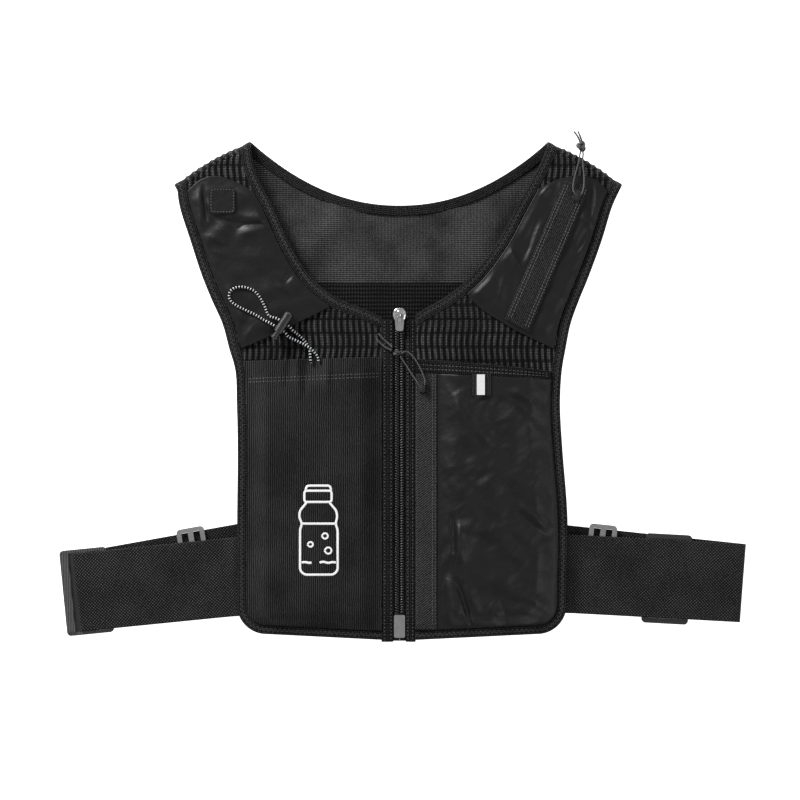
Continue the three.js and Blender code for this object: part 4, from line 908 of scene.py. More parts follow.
# %% Phone pocket
PHONE_CREASES = [
    (39.5, 93, 40.5, 68, 2.0, -2.0), (40.5, 68, 36, 49, 2.2, -2.0), (42.5, 46, 48.4, 30, 2.2, -1.9),
    (48.4, 30, 55, 9, 2.0, -2.2), (33.8, 58, 31.9, 35, 1.8, -1.4), (31.9, 35, 33.6, 12, 1.8, -1.4),
    (44.5, 88, 46, 62, 3.0, 1.4), (36, 42, 42, 14, 3.5, 1.5), (46, 52, 58, 22, 4.0, 1.3),
    (31, 196, 48, 172, 3.0, 1.2), (34, 190, 62, 158, 3.4, -0.9), (46, 172, 66, 150, 4.0, 1.1),
    (83, 193, 112, 168, 3.6, 1.2), (80, 186, 108, 160, 3.2, -1.0), (98, 196, 113, 186, 2.6, 1.0),
    (93, 100, 114, 84, 3.0, 1.3), (90, 95, 112, 78, 2.6, -0.9), (84, 36, 104, 30, 5.0, 1.4),
    (70, 26, 76, 9, 3.0, 1.3), (77, 28, 82, 10, 2.6, -1.2), (94, 30, 112, 17, 3.6, -1.2),
    (60, 130, 96, 112, 9, 0.8), (50, 118, 84, 96, 8, -0.7), (70, 74, 100, 60, 7, 0.7),
    (28, 150, 36, 132, 3.0, 0.8), (28, 120, 38, 108, 2.6, 0.7),
]
PHONE_NEAR = RIGHT.placket_far + SEAT + PHONE_TAPE_WIDTH + SEAT
CREASE_GAIN = 1.15  # how much deeper than drawn the satin's creases lie
LABEL_MIDDLE = 60.7
LABEL_HALF = 13
LABEL_LOW = 178
LABEL_RISE = 0.1  # the most that satin may rise under a label or a tape


def phone_point(u, v, start=PHONE_NEAR):
    """A point from the side to the zip tape, and from the hem to the pocket's top."""
    h = v * share_at(RIGHT, PHONE_TOP)
    outer, inner = outer_edge(RIGHT, h, CLOTH_INSET + SEAT), inner_edge(RIGHT, h, CLOTH_INSET)
    share = (outer[..., 0] - start) / (outer[..., 0] - inner[..., 0])
    return mix(outer, inner, (share * u)[..., None]), outer[..., 0]


def phone_lift(d, v, outer):
    """How far the pocket stands off the vest."""
    span = outer - PHONE_NEAR
    share = np.clip((outer - d) / span, 0, 1)
    return plateau(share, span, POCKET_LIP) * smooth(v * PHONE_TOP / POCKET_LIP)


u, v = grid(170, 280)
p, outer = phone_point(u, v)
rise = phone_lift(p[..., 0], v, outer)
soft = CREASE_GAIN * creases(PHONE_CREASES, p)
soft = soft + wrinkles(21, p, 26, 0.8, lean=-0.7) + wrinkles(22, p, 9, 0.1)
edge = plateau(u, 90, 5) * smooth(v * PHONE_TOP / 5)
label = smooth((LABEL_HALF - abs(p[..., 0] - LABEL_MIDDLE)) / 4) * smooth((p[..., 1] - LABEL_LOW) / 5)
soft = mix(soft, np.minimum(soft, LABEL_RISE), label)
low = LAYER + rise * POCKET_DEPTH + mix(edge * 0.35, 1, rise) * soft * smooth((1 - v) * 14) * edge
low = np.maximum(low, LAYER - 0.1)
phone_pocket = lay("phone_pocket_satin", RIGHT, p, low + SATIN, low)
print("phone pocket:", len(phone_pocket.data.polygons), "faces")


# %% Its hem tape and the zip tape beside it
def hem_place(u, v):
    """A place on the tape at the pocket's mouth and its height. The tape follows the satin and runs on
    over the zip's tape."""
    p, outer = phone_point(u, np.ones_like(v), RIGHT.placket_far + SEAT)
    y = p[..., 1] + SEAT + v * (HEM_TAPE - 4.5 * (1 - u) ** 2)
    return pair(p[..., 0], y), LAYER + phone_lift(p[..., 0], 1.0, outer) * POCKET_DEPTH


def hem_tape():
    """The tape, pressed in along its seam and rounded at its edges."""
    u, v = grid(120, 14)
    q, low = hem_place(u, v)
    pressed = 0.25 * bell((v - 0.45) / 0.16) * plateau(u, 90, 3)
    top = low + HEM_TAPE_THICK - pressed - 0.5 * (1 - plateau(v, HEM_TAPE, 1.2))
    return lay("pocket_hem_tape", RIGHT, q, top, low)


def zip_cover():
    """The upright twill tape that hides the phone pocket's zip."""
    near = RIGHT.placket_far + SEAT
    u, v = grid(30, 240)
    start = hem_at(RIGHT, near + PHONE_TAPE_WIDTH) + CLOTH_INSET
    d, y = mix(near, near + PHONE_TAPE_WIDTH, u), mix(start, PHONE_TOP - SEAT, v)
    arch = 0.35 * plateau(u, PHONE_TAPE_WIDTH, 3) + 0.12 * np.sin(y * 0.11) * plateau(u, 1, 0.4)
    return lay("phone_zip_cover", RIGHT, pair(d, y), LAYER + TAPE_THICK - 0.3 + arch, LAYER)


pocket_hem = hem_tape()
phone_tape = zip_cover()
print("hem tape:", len(pocket_hem.data.polygons), "faces")

# %% [markdown]
# ## The shoulder pockets
#
# Both shoulders carry a flat satin pocket. The left one has a square patch under its cloth, the right one
# a slanting zip under a twill tape.

# %% Shoulder pockets
SATIN_FROM = {"outer": 0.624, "left": 0.74, "right": 0.75}
SATIN_TO = {"outer": 0.985, "inner": 0.94, "crown": 0.02}
SHOULDER_CREASES = {
    "left": [
        (147, 341, 144.6, 316, 1.5, -1.5), (150.5, 338, 148.5, 314, 2.2, 0.9),
        (139, 318, 121, 311.5, 2.0, -1.1), (121, 312, 98, 313, 2.0, -1.3),
        (128, 320, 102, 317, 3.0, 0.8), (118, 306, 100, 308, 3.0, 0.9),
        (141, 303, 132, 299, 2.4, 0.8), (139, 293, 131, 289, 2.2, 0.7), (86, 269, 80, 276, 1.8, -1.0),
        (90, 266, 82, 262, 2.6, 0.8), (121, 222, 118, 238, 2.0, -1.1), (116, 224, 110, 236, 2.6, 0.8),
        (128, 246, 110, 240, 4, 0.7), (112, 300, 92, 290, 8, 0.6), (120, 270, 100, 250, 8, 0.5),
    ],
    "right": [
        (91, 283, 103, 316, 3.0, -1.2), (84, 293, 89, 280, 2.0, 0.9), (97, 288, 106, 310, 3.4, 0.8),
        (144, 346, 143.5, 318, 1.8, -1.3), (148, 343, 148, 320, 2.0, 0.8),
        (133.5, 293, 141.5, 308, 1.8, -1.1), (137, 318, 146, 311, 2.0, 0.8),
        (131, 300, 138, 312, 2.6, 0.7), (107, 335, 113, 345, 2.4, 0.9),
        (118, 258, 132, 252, 3.0, 0.7), (120, 246, 131, 243, 2.4, -0.6), (78, 272, 76, 258, 2.4, 0.7),
        (126, 270, 136, 276, 3.2, 0.6),
    ],
}


def satin_point(side, u, v):
    """A point of a shoulder pocket, from its slanting seam up to the open mesh at the ridge."""
    low = mix(SATIN_FROM["outer"], SATIN_FROM[side.name], u)
    high = mix(SATIN_TO["outer"], SATIN_TO["inner"], u) + SATIN_TO["crown"] * 4 * u * (1 - u)
    return front_point(side, mix(0.015, 0.985, u), mix(low, high, v))


# Shares of the pocket: the slanting tape's outer and inner corner at each end
SLANT_LOW = [(0.2, 0.03), (0.43, 0.03)]
SLANT_HIGH = [(0.29, 0.95), (0.7, 0.97)]
SLANT = [[satin_point(RIGHT, *corner) for corner in end] for end in (SLANT_LOW, SLANT_HIGH)]


def slant_point(u, v):
    """A point of the slanting tape, straight between its four corners."""
    u, v = u[..., None], v[..., None]
    return mix(mix(SLANT[0][0], SLANT[0][1], u), mix(SLANT[1][0], SLANT[1][1], u), v)


def under_slant(p):
    """1 where the satin lies under the slanting tape, easing to 0 beside it."""
    ends = [sum(end) / 2 for end in SLANT]
    way = unit(ends[1] - ends[0])
    off = abs((p[..., 0] - ends[0][0]) * way[1] - (p[..., 1] - ends[0][1]) * way[0])
    return smooth((14 - off) / 4)


def shoulder_pocket(side):
    """Satin that puffs up a little from its seams, with its creases."""
    u, v = grid(130, 220)
    p = satin_point(side, u, v)
    rise = plateau(u, 1, 0.1) * plateau(v, 1, 0.08)
    soft = creases(SHOULDER_CREASES[side.name], p) + wrinkles(31 + side.sign, p, 22, 0.42)
    if side is RIGHT:
        soft = mix(soft, np.minimum(soft, LABEL_RISE), under_slant(p))
    low = LAYER + rise * (SATIN_PUFF + np.maximum(soft, -SATIN_PUFF))
    return lay(f"shoulder_satin_{side.name}", side, p, low + SATIN, low)


def slant_tape():
    """The twill tape over the slanting zip."""
    u, v = grid(26, 160)
    low = SATIN_TOP + SEAT
    top = low + TAPE_THICK - 0.3 + 0.3 * plateau(u, 14, 2.5)
    return lay("slanting_twill", RIGHT, slant_point(u, v), top, low)


satin = {side.name: shoulder_pocket(side) for side in HALVES}
slanting = slant_tape()
print("shoulder satin:", len(satin["left"].data.polygons), "faces a side")

# %% [markdown]
# ## The side straps
#
# Each strap is a wide woven elastic. It comes out from under the side binding, turns back at its end, and
# runs behind to the vest again. The two layers leave the turn at different angles, so the back one shows
# above the front one near the vest.

# %% Straps
STRAP_LOW = STRAP_THICK / 2
STRAP_HIGH = STRAP_LOW + 2 * STRAP_TURN
STRAP_SEWN = FRONT_MID - BINDING_THICK / 2 - SEAT - STRAP_THICK / 2
STRAP_RAMP = 9
STRAP_BACK_GAP = -2  # the back layer ends inside the side tape


def strap_place(side, run, across, angle):
    """A place on a strap that is turned by an angle: run in from its fold, across from its middle."""
    facts = STRAPS[side.name]
    d = facts["reach"] - run * np.cos(angle) + np.sin(angle) * across
    return pair(d, facts["y"] + run * np.sin(angle) + np.cos(angle) * across)


def stations(*columns):
    """Rows of run, angle, height, the face's way out and up, and 1 where the run is a share."""
    return np.stack(np.broadcast_arrays(*columns), axis=-1)


def strap(side):
    """The strap's grid: stations in from the fold, round it, and back in, each turned by its angle."""
    facts = STRAPS[side.name]
    front, behind = facts["front"], facts["back"]
    seam = facts["reach"] - side.outer(0.08)[0][0]
    sewn, free = np.linspace(seam + STRAP_UNDER, seam - STRAP_RAMP, 16), np.linspace(seam - 10, 0, 110)
    run = np.concatenate([sewn, free])
    high = mix(STRAP_HIGH, STRAP_SEWN, smooth((run - seam + STRAP_RAMP) / (STRAP_RAMP + 1)))
    turn = np.linspace(0, 1, 20)[1:-1]
    out, up = np.sin(turn * math.pi), np.cos(turn * math.pi)
    bend = STRAP_LOW + STRAP_TURN * (1 + up)
    rows = np.concatenate([
        stations(run, front, high, 0, 1, 0),
        stations(-STRAP_TURN * out, mix(front, behind, turn), bend, out, up, 0),
        stations(np.linspace(0, 1, 110), behind, STRAP_LOW, 0, -1, 1),
    ])
    run, angle, z, out, up, shared = rows.T[..., None]
    angle = np.radians(angle)
    across = np.linspace(-0.5, 0.5, 70)[None, :] * STRAP_WIDTH
    length = (seam - STRAP_BACK_GAP + across * np.sin(angle)) / np.cos(angle)
    p = strap_place(side, np.where(shared > 0, run * length, run), across, angle)
    aside = pair(np.cos(angle) * out, -np.sin(angle) * out)
    half = STRAP_THICK / 2
    faces = [place(side, p + off * aside, z + off * up) for off in (half, -half)]
    return shell(f"strap_elastic_{side.name}", *faces)


straps = {side.name: strap(side) for side in HALVES}
print("strap:", len(straps["left"].data.polygons), "faces a side")

# %% [markdown]
# ## The centre zip
#
# Two folded tapes frame the zip. Between them lie its twill tapes, and on those two rows of coil teeth,
# which lean towards each other like a column of arrowheads.

# %% Plackets, zip tapes and teeth
ZIP_LOW = 19.8
SLIDER_FOOT = 237
SLIDER_TOP = 250
TOOTH_PITCH = 1.9
TOOTH_LEAN = math.radians(24)
TOOTH_MID = 1.8
TOOTH_LEVEL = 11.35
TOOTH_HALF = (1.75, 0.8, 0.83)
SEWN_IN = 1.6  # how far a placket's seams lie from its edges
SLIDER_LOW, SLIDER_EDGE, SLIDER_DOME = 12.75, 12.85, 1.33
SLIDER_SHARES = [0, 0.2, 0.38, 0.6, 0.8, 0.92, 1]
SLIDER_HALF = [2.6, 3.1, 4.5, 5.25, 4.7, 3.4, 2.2]
CROWN_LINE = [
    (0, 243, 13.6), (0, 243, 15.3), (0, 243.7, 16.3), (0, 245.6, 16.6), (0, 247.5, 16.3),
    (0, 248.2, 15.3), (0, 248.2, 13.6),
]
CROWN_HALF = (1.2, 0.48)
WEB_RUN = (-9, 5)
WEB_ACROSS = 0.54
WEB_LEVEL = (3.4, 2.4)


def placket(side):
    """A folded tape beside the zip, its long edges rounded and its seams pressed in."""
    u, v = grid(18, 260)
    width = PLACKET_WIDTH[side.name]
    d, y = PLACKET_NEAR + u * (width + 0.6), mix(-0.6, PLACKET_TOP, v)
    sewn = sum(bell((d - at) / 0.6) for at in (PLACKET_NEAR + SEWN_IN, side.placket_far - SEWN_IN))
    top = FRONT_LOW + BINDING_THICK - 0.7 * (1 - plateau(u, width, 1.3)) - 0.25 * sewn
    return lay(f"placket_tape_{side.name}", side, pair(d, y), top + 0.06 * np.sin(y * 0.9), FRONT_LOW)


def zip_tape(side):
    """The zip's own tape under its teeth."""
    u, v = grid(8, 160)
    q = pair(mix(0.02, 5, u), mix(0, PLACKET_TOP, v))
    return lay(f"zip_twill_{side.name}", side, q, FRONT_LOW + TAPE_THICK, FRONT_LOW)


def teeth():
    """Two rows of teeth, one of them half a pitch above the other."""
    up = np.arange(ZIP_LOW + 0.9, PLACKET_TOP - 2, TOOTH_PITCH)
    centres, ways = [], []
    for side, shift in ((LEFT, 0.0), (RIGHT, TOOTH_PITCH / 2)):
        centres.append(place(side, pair(TOOTH_MID, up + shift), TOOTH_LEVEL))
        ways.append(np.tile([side.sign * math.cos(TOOTH_LEAN), math.sin(TOOTH_LEAN), 0.0], (len(up), 1)))
    return scatter("coil_teeth", np.concatenate(centres), np.concatenate(ways), TOOTH_HALF)


# %% Slider and buckle plate
def slider_plate():
    """The slider's domed plate: narrow at its foot, widest above its middle and rounded at its top."""
    u, v = grid(25, 33, from_u=-0.98, to_u=0.98, from_v=0.01, to_v=0.99)
    q = pair(u * np.interp(v, SLIDER_SHARES, SLIDER_HALF), mix(SLIDER_FOOT, SLIDER_TOP, v))
    dome = np.sqrt(np.clip((1 - u**2) * (1 - (2 * v - 1) ** 6), 0, 1))
    return lay("slider_plate", RIGHT, q, SLIDER_EDGE + SLIDER_DOME * dome, SLIDER_LOW)


def slider_crown():
    """The slider's bridge, a flat band bent over the pull's bar."""
    centre, heading = curve_through(CROWN_LINE)(np.linspace(0, 1, 48))
    wide_way, thick_way = CROWN_HALF[0] * np.cos(full_turn(16)), CROWN_HALF[1] * np.sin(full_turn(16))
    q = centre[:, None] + np.cross(heading, (1.0, 0, 0))[:, None] * thick_way[None, :, None]
    return loft("slider_crown", place(RIGHT, pair(wide_way, q[..., 1]), q[..., 2]))


def buckle_web():
    """The plate between the left buckle's ridged bar and the strap's fold."""
    u, v = grid(6, 40)
    angle = math.radians(STRAPS["left"]["front"])
    q = strap_place(LEFT, mix(*WEB_RUN, u), mix(-WEB_ACROSS, WEB_ACROSS, v) * STRAP_WIDTH, angle)
    return lay("buckle_web", LEFT, q, *WEB_LEVEL)


plate, crown = slider_plate(), slider_crown()
web = buckle_web()
plackets = {side.name: placket(side) for side in HALVES}
zip_tapes = {side.name: zip_tape(side) for side in HALVES}
coil = teeth()
print("teeth:", len(coil.data.polygons), "faces")

# %% [markdown]
# ## Cords and knots
#
# An elastic cord leaves the flask pocket's tuck, passes a cord lock, makes a loop and comes back through
# it. A short cord hangs on each of the two pulls at the right shoulder and at the centre zip, and its two
# ends are tied in a knot. Each cord is a bar through the same points as its solid.

# %% Where the cords run
LOCK_FOOT = np.array([-91, 231.4])
LOCK_TURN = math.atan2(9.2, 14.25)
LOCK_LEVEL = SATIN_TOP + SEAT + 3.6
LOCK_REACH = 5.1
ELASTIC_THICK = 2.0
PULLER_THICK = 1.2
TAIL_THICK = 1.4
ELASTIC_ROUTE = [
    (66.2, 208.5, 16.1), (66.6, 212.5, 16.1), (66.9, 216, 15.4), (68, 220.3, 13.4), (70.4, 224.2, 13),
    (74.4, 228.5, 14.3), (80.2, 233.2, 17),
]
ELASTIC_LOOP = [
    (97.6, 244, 16.4), (100.6, 250.4, 15.4), (104, 257, 15.1), (108.6, 262.3, 15.1), (114.6, 264.9, 15.1),
    (120, 265.4, 15.1), (124.1, 264.3, 15.1), (127, 261.6, 15.1), (127.4, 257.9, 15.1), (125.4, 254, 15.1),
    (120.7, 250.8, 15.1), (114, 247.5, 15.1), (107.5, 244.4, 15.3), (102.5, 241.3, 16.1),
]
ELASTIC_TAIL = [
    (83.2, 228.2, 17), (78, 225.6, 15.8), (73, 223.2, 15.6), (69.3, 221.2, 16), (66, 218.9, 16.4),
    (63.2, 216, 16.4), (61.2, 213.2, 16.2), (60.4, 209.8, 16.1),
]
UPPER_PULLER = [
    (136.2, 367.7, 6.8), (135.6, 365.6, 9.6), (135, 362.9, 12.4), (134, 358.5, 14), (132.2, 352, 15.8),
    (130.6, 345.8, 16.7), (129.8, 340.5, 17.4), (130.2, 336.6, 18), (131.6, 334.6, 18.1), (132.6, 334, 18.1),
    (133.8, 333.5, 18.1), (135.6, 334.2, 18.1), (137, 337, 17.8), (137.9, 341.4, 17.2), (138.1, 346, 16.6),
    (137.8, 352, 15.8), (137.3, 358, 14), (137.4, 361.6, 12.4), (137.9, 364.8, 9.6), (138, 367.2, 6.7),
]
LOWER_PULLER = [
    (1.7, 215.9, 15.6), (5, 217, 15), (9.6, 213.8, 14.9), (13.6, 208.2, 15.3), (17, 201.6, 15.2),
    (18.9, 195.4, 15.2), (18.5, 191.3, 15.4), (16.4, 190.2, 15.3), (14.3, 192.9, 15.2), (10.6, 198.2, 14.9),
    (6.2, 205, 15.2), (2.4, 210.8, 15.5), (0.8, 213.2, 15.6),
]
UPPER_TAILS = [
    [(136.3, 374.6, 4.4), (134.8, 378.4, 4.2), (133, 381.4, 3.4), (131.6, 383.2, 2.6)],
    [(137.6, 375, 4.4), (136.4, 379, 4), (135.4, 381.6, 3), (134.6, 383.4, 2.2)],
]
LOWER_TAILS = [
    [(-5.2, 220.4, 15.2), (-8.5, 223.2, 14), (-12.6, 227, 13.6), (-15.6, 230.6, 13.4)],
    [(-5.6, 218, 15.2), (-9.4, 219.6, 14.2), (-13.4, 222.6, 13.6), (-17.4, 226.6, 13.4)],
]


def lock_crossing(along, k):
    """Where the cord enters or leaves the lock, at a distance along it; k is 1 or -1 for its two faces."""
    way = np.array([math.sin(LOCK_TURN), math.cos(LOCK_TURN)])
    x, y = LOCK_FOOT + way * along + np.array([way[1], -way[0]]) * k * LOCK_REACH
    return -x, y, LOCK_LEVEL


def on_half(side, rows):
    """Rows of d, y and height as points in metres."""
    rows = np.asarray(rows, float)
    return place(side, rows[:, :2], rows[:, 2])


print("points on the pullers' routes:", len(UPPER_PULLER), len(LOWER_PULLER))


# %% Make the cords
def knot(name, centre, turn, half, radius):
    """A cord tied on itself: a closed line of three lobes, where each coordinate is a sum of sines."""
    t = np.linspace(0, 2 * math.pi, 61)
    x = (np.sin(t) + 2 * np.sin(2 * t)) / 3 * half[0]
    y = (np.cos(t) - 2 * np.cos(2 * t)) / 3 * half[1]
    c, s = math.cos(math.radians(turn)), math.sin(math.radians(turn))
    lobes = centre + np.stack([c * x + s * y, c * y - s * x, -np.sin(3 * t) * half[2]], axis=1)
    return tube(name, on_half(RIGHT, lobes), radius)[0]


elastic_points = ELASTIC_ROUTE + [lock_crossing(8.4, 1), lock_crossing(8.4, -1)] + ELASTIC_LOOP
elastic_points += [lock_crossing(2.8, -1), lock_crossing(2.8, 1)] + ELASTIC_TAIL
elastic, elastic_run = tube("elastic_cord_line", on_half(LEFT, elastic_points), ELASTIC_THICK / 2, 14)
upper, upper_run = tube("upper_puller_line", on_half(RIGHT, UPPER_PULLER), PULLER_THICK / 2)
lower, lower_run = tube("lower_puller_line", on_half(RIGHT, LOWER_PULLER), PULLER_THICK / 2)

upper_knot = knot("upper_knot_lobes", (137, 372, 4.3), -25, (2.6, 3.2, 2.2), 1.35)
lower_knot = knot("lower_knot_lobes", (-2, 216.3, 15.4), 60, (1.6, 2.2, 1.2), 0.85)
tails = {
    key: [tube(f"{key}_tail_{k}", on_half(RIGHT, line), TAIL_THICK / 2)[0] for k, line in enumerate(lines)]
    for key, lines in {"upper": UPPER_TAILS, "lower": LOWER_TAILS}.items()
}
print("cords:", [round(run.length / MM) for run in (elastic_run, upper_run, lower_run)], "mm")

# %% [markdown]
# ## Stitches and print
#
# Seams show as rows of small thread beads. The flask pocket carries a printed outline of a bottle, a thin
# white line that follows the knit's height.


# %% Rows of stitches
PATCH_MIDDLE = np.array([-135.6, 141.9])
PATCH_HALF = 8.4
PATCH_LEVEL = 14.95


def knit_top(p):
    """The flask pocket's height away from its edges and its tuck."""
    return LAYER + POCKET_DEPTH + KNIT + flask_soft(p)


def straight(side, d, low, high, z):
    """A straight upright run on one half."""
    return place(side, pair(d, np.linspace(low, high, 60)), z)


placket_rows = [
    row(straight(side, d, 0.5, PLACKET_TOP - 1, FRONT_LOW + BINDING_THICK - 0.2), 2.7, 0.45)
    for side in HALVES
    for d in (PLACKET_NEAR + SEWN_IN, side.placket_far - SEWN_IN)
]
cover_near = RIGHT.placket_far + SEAT
cover_far = cover_near + PHONE_TAPE_WIDTH
cover_rows = [
    row(straight(RIGHT, d, 12, PHONE_TOP - 1, LAYER + TAPE_THICK + 0.05), 2.4)
    for d in (cover_far - 1.4, cover_far - 3.4, cover_near + 1.4)
]
share = np.linspace(0.02, 0.98, 90)
slant_rows = [
    row(place(RIGHT, slant_point(at + 0 * share, share), SATIN_TOP + SEAT + TAPE_THICK - 0.04), 2.4)
    for at in (0.09, 0.2, 0.8, 0.91)
]
hem_rows = []
for at in (0.3, 0.6):
    q, low = hem_place(share, at + 0 * share)
    hem_rows.append(row(place(RIGHT, q, low + HEM_TAPE_THICK - 0.12), 2.8))
flask_rows = []
for at in (0.928, 0.94):
    q, low = flask_point(share, at + 0 * share)
    flask_rows.append(row(place(LEFT, q, low + KNIT + 0.02), 2.9))

angle = np.linspace(0, 2 * math.pi, 240)
square = PATCH_MIDDLE + PATCH_HALF * signed_power(pair(np.cos(angle), np.sin(angle)), 0.22)
patch_line = np.insert(square, 2, PATCH_LEVEL, axis=1) * MM

stitches = {
    "placket": seam("placket_stitches", placket_rows, (0.85, 0.3, 0.2)),
    "cover": seam("cover_stitches", cover_rows),
    "slant": seam("slant_stitches", slant_rows),
    "hem": seam("hem_stitches", hem_rows),
    "flask": seam("flask_stitches", flask_rows),
    "patch": seam("patch_stitches", [row(patch_line, 2.2)], (0.7, 0.3, 0.2)),
}
print("stitch faces:", sum(len(piece.data.polygons) for piece in stitches.values()))

# %% The printed bottle
PRINT_LINE = 1.7
BUBBLE_LINE = 1.3
BOTTLE = [
    [(70, 113.4), (69.4, 116.8), (51.6, 116.8), (51, 113.4)],
    [(60.7, 113), (71, 113), (71, 104.6), (50.6, 104.6), (50.6, 113), (60.7, 113)],
    [
        (69.4, 104), (74.4, 98), (74.8, 93), (72.6, 88.4), (74.2, 84), (74.2, 53.4), (71, 50.3), (49.2, 50.3),
        (46.1, 53.4), (46.1, 84), (47.8, 88.4), (46.4, 93), (47, 98), (52.1, 104),
    ],
    [(72.6, 88.4), (47.8, 88.4)],
    [(73, 59.3), (70.6, 60.2), (68, 58.8), (65.6, 59.3)],
    [(59.6, 59.3), (56.6, 60.3), (53.2, 58.6), (50.2, 60), (47.3, 59.3)],
]
BUBBLES = [(55.5, 79.2, 2.4), (66.4, 72.9, 2.2), (53.1, 68.3, 2.7)]


def ribbon(points, width):
    """A flat line on the knit: its corners are eased by taking means of neighbouring points."""
    p = np.asarray(points, float)
    run = run_lengths(p)
    p = read_at(np.linspace(0, run[-1], max(int(run[-1] / 0.5), 10)), run, p)
    for _ in range(14):
        p[1:-1] = (p[:-2] + 2 * p[1:-1] + p[2:]) / 4
    way = unit(np.gradient(p, axis=0))
    across = np.linspace(-0.5, 0.5, 5)[None, :, None] * width
    q = p[:, None] + pair(-way[:, 1], way[:, 0])[:, None] * across
    z = knit_top(q)
    return closed_grid(place(LEFT, q, z + 0.2), place(LEFT, q, z - 0.1))


turn = np.linspace(0, 2 * math.pi, 40)
rings = [pair(d + r * np.cos(turn), y + r * np.sin(turn)) for d, y, r in BUBBLES]
lines = [ribbon(line, PRINT_LINE) for line in BOTTLE] + [ribbon(ring, BUBBLE_LINE) for ring in rings]
bottle = joined("bottle_print", lines)
print("bottle:", len(bottle.data.polygons), "faces")

# %% [markdown]
# ## Finishes
#
# Every finish is worked out from nodes. A cloth's threads are waves: each has an angle and a pitch in
# millimetres, and their product is high where threads cross and low in the gaps. The same height sets the
# colour, from dark gaps to light threads, and turns the surface's normal. Slow noise makes the cloth
# uneven, and fine noise gives it the speckle of spun yarn.

# %% Tools for finishes
BAND = math.pi / 10  # how far apart a wave texture's bands stand at a scale of 1
UNEVEN_GRAIN, SPECKLE_GRAIN, CRUMPLE_GRAIN = 34, 1.1, 7  # grains of noise, in millimetres
BUCKLE_RIDGE = 1.8
SOFT = {"Specular IOR Level": 0.06, "Sheen Weight": 0.05, "Sheen Roughness": 0.5}
SHINY = {"Specular IOR Level": 0.29, "Sheen Weight": 0.08, "Sheen Roughness": 0.35}
GLOSS = {"Specular IOR Level": 0.5}
FINISHES = {}


def linear(code):
    """An sRGB hex colour in linear light: small values a straight share, larger ones a power of 2.4."""
    s = np.array([int(code[k:k + 2], 16) for k in (0, 2, 4)]) / 255
    lit = np.where(s <= 0.04045, s / 12.92, ((s + 0.055) / 1.055) ** 2.4)
    return (*map(float, lit), 1.0)


def add(tree, kind, inputs=(), **settings):
    """A node of a kind with its settings, its inputs' values and its links."""
    node = tree.nodes.new(f"ShaderNode{kind}")
    for key, value in settings.items():
        setattr(node, key, value)
    for key, value in dict(inputs).items():
        if isinstance(value, bpy.types.Node):
            value = value.outputs[0]
        if isinstance(value, bpy.types.NodeSocket):
            tree.links.new(value, node.inputs[key])
        else:
            node.inputs[key].default_value = value
    return node


def open_finish(name):
    """An empty material under its name; its tree."""
    material = bpy.data.materials.new(name)
    material.use_nodes = True
    material.node_tree.nodes.clear()
    FINISHES[name] = material
    return material.node_tree


def close_finish(tree, colour, rough, height, fixed=()):
    """Ends a finish: a height in millimetres turns the normal, and the shader takes all the rest."""
    bump = add(tree, "Bump", {"Height": height, "Distance": MM})
    inputs = {"Base Color": colour, "Roughness": rough, "Normal": bump, **dict(fixed)}
    add(tree, "OutputMaterial", {"Surface": add(tree, "BsdfPrincipled", inputs)})


# %% Cloth, moulded and sewn finishes
def cloth(name, threads, dark, light, rough, deep, space="Cloth", bend=0.8, uneven=0.3, speckle=0.3,
          crumple=0.0, painted_shade=False, over=None, fixed=SOFT):
    """A cloth from its threads' angles and pitches: the product of their waves, times slow and fine noise,
    is how light it is. space is its UV map or Object for the vest's frame."""
    tree = open_finish(name)
    where = add(tree, "TexCoord").outputs["Object"] if space == "Object" else add(tree, "UVMap", uv_map=space)
    height = None
    for angle, pitch in threads:
        turned = {"Vector": where, "Angle": math.radians(angle)}
        turned = add(tree, "VectorRotate", turned, rotation_type="Z_AXIS")
        scale = BAND / (pitch * MM)
        wave = add(tree, "TexWave", {"Vector": turned, "Scale": scale, "Distortion": bend, "Detail": 1.0})
        height = add(tree, "Math", {0: height, 1: wave}, operation="MULTIPLY") if height else wave
    lit = height
    for grain, amount in ((UNEVEN_GRAIN, uneven), (SPECKLE_GRAIN, speckle)):
        noise = add(tree, "TexNoise", {"Vector": where, "Scale": 1 / (grain * MM), "Detail": 3.0})
        span = {"From Min": 0.36, "From Max": 0.64, "To Min": 1 - amount, "To Max": 1 + amount}
        share = add(tree, "MapRange", {"Value": noise, **span})
        lit = add(tree, "Math", {0: lit, 1: share}, operation="MULTIPLY")
    # Painted shade: the ground between a spacer mesh's cords is darkened by a power of their height
    if painted_shade:
        shade = add(tree, "Attribute", attribute_name="shade").outputs[2]
        relief = add(tree, "Math", {0: shade, 1: 1.7}, operation="POWER")
        lit = add(tree, "Math", {0: lit, 1: relief}, operation="MULTIPLY")
    colour = add(tree, "MixRGB", {"Fac": lit, "Color1": linear(dark), "Color2": linear(light)})
    fold = add(tree, "TexNoise", {"Vector": where, "Scale": 1 / (CRUMPLE_GRAIN * MM), "Detail": 4.0})
    soft = add(tree, "Math", {0: fold, 1: crumple}, operation="MULTIPLY")
    height = add(tree, "Math", {0: height, 1: deep, 2: soft}, operation="MULTIPLY_ADD")
    close_finish(tree, over(tree, colour) if over else colour, rough, height, fixed)


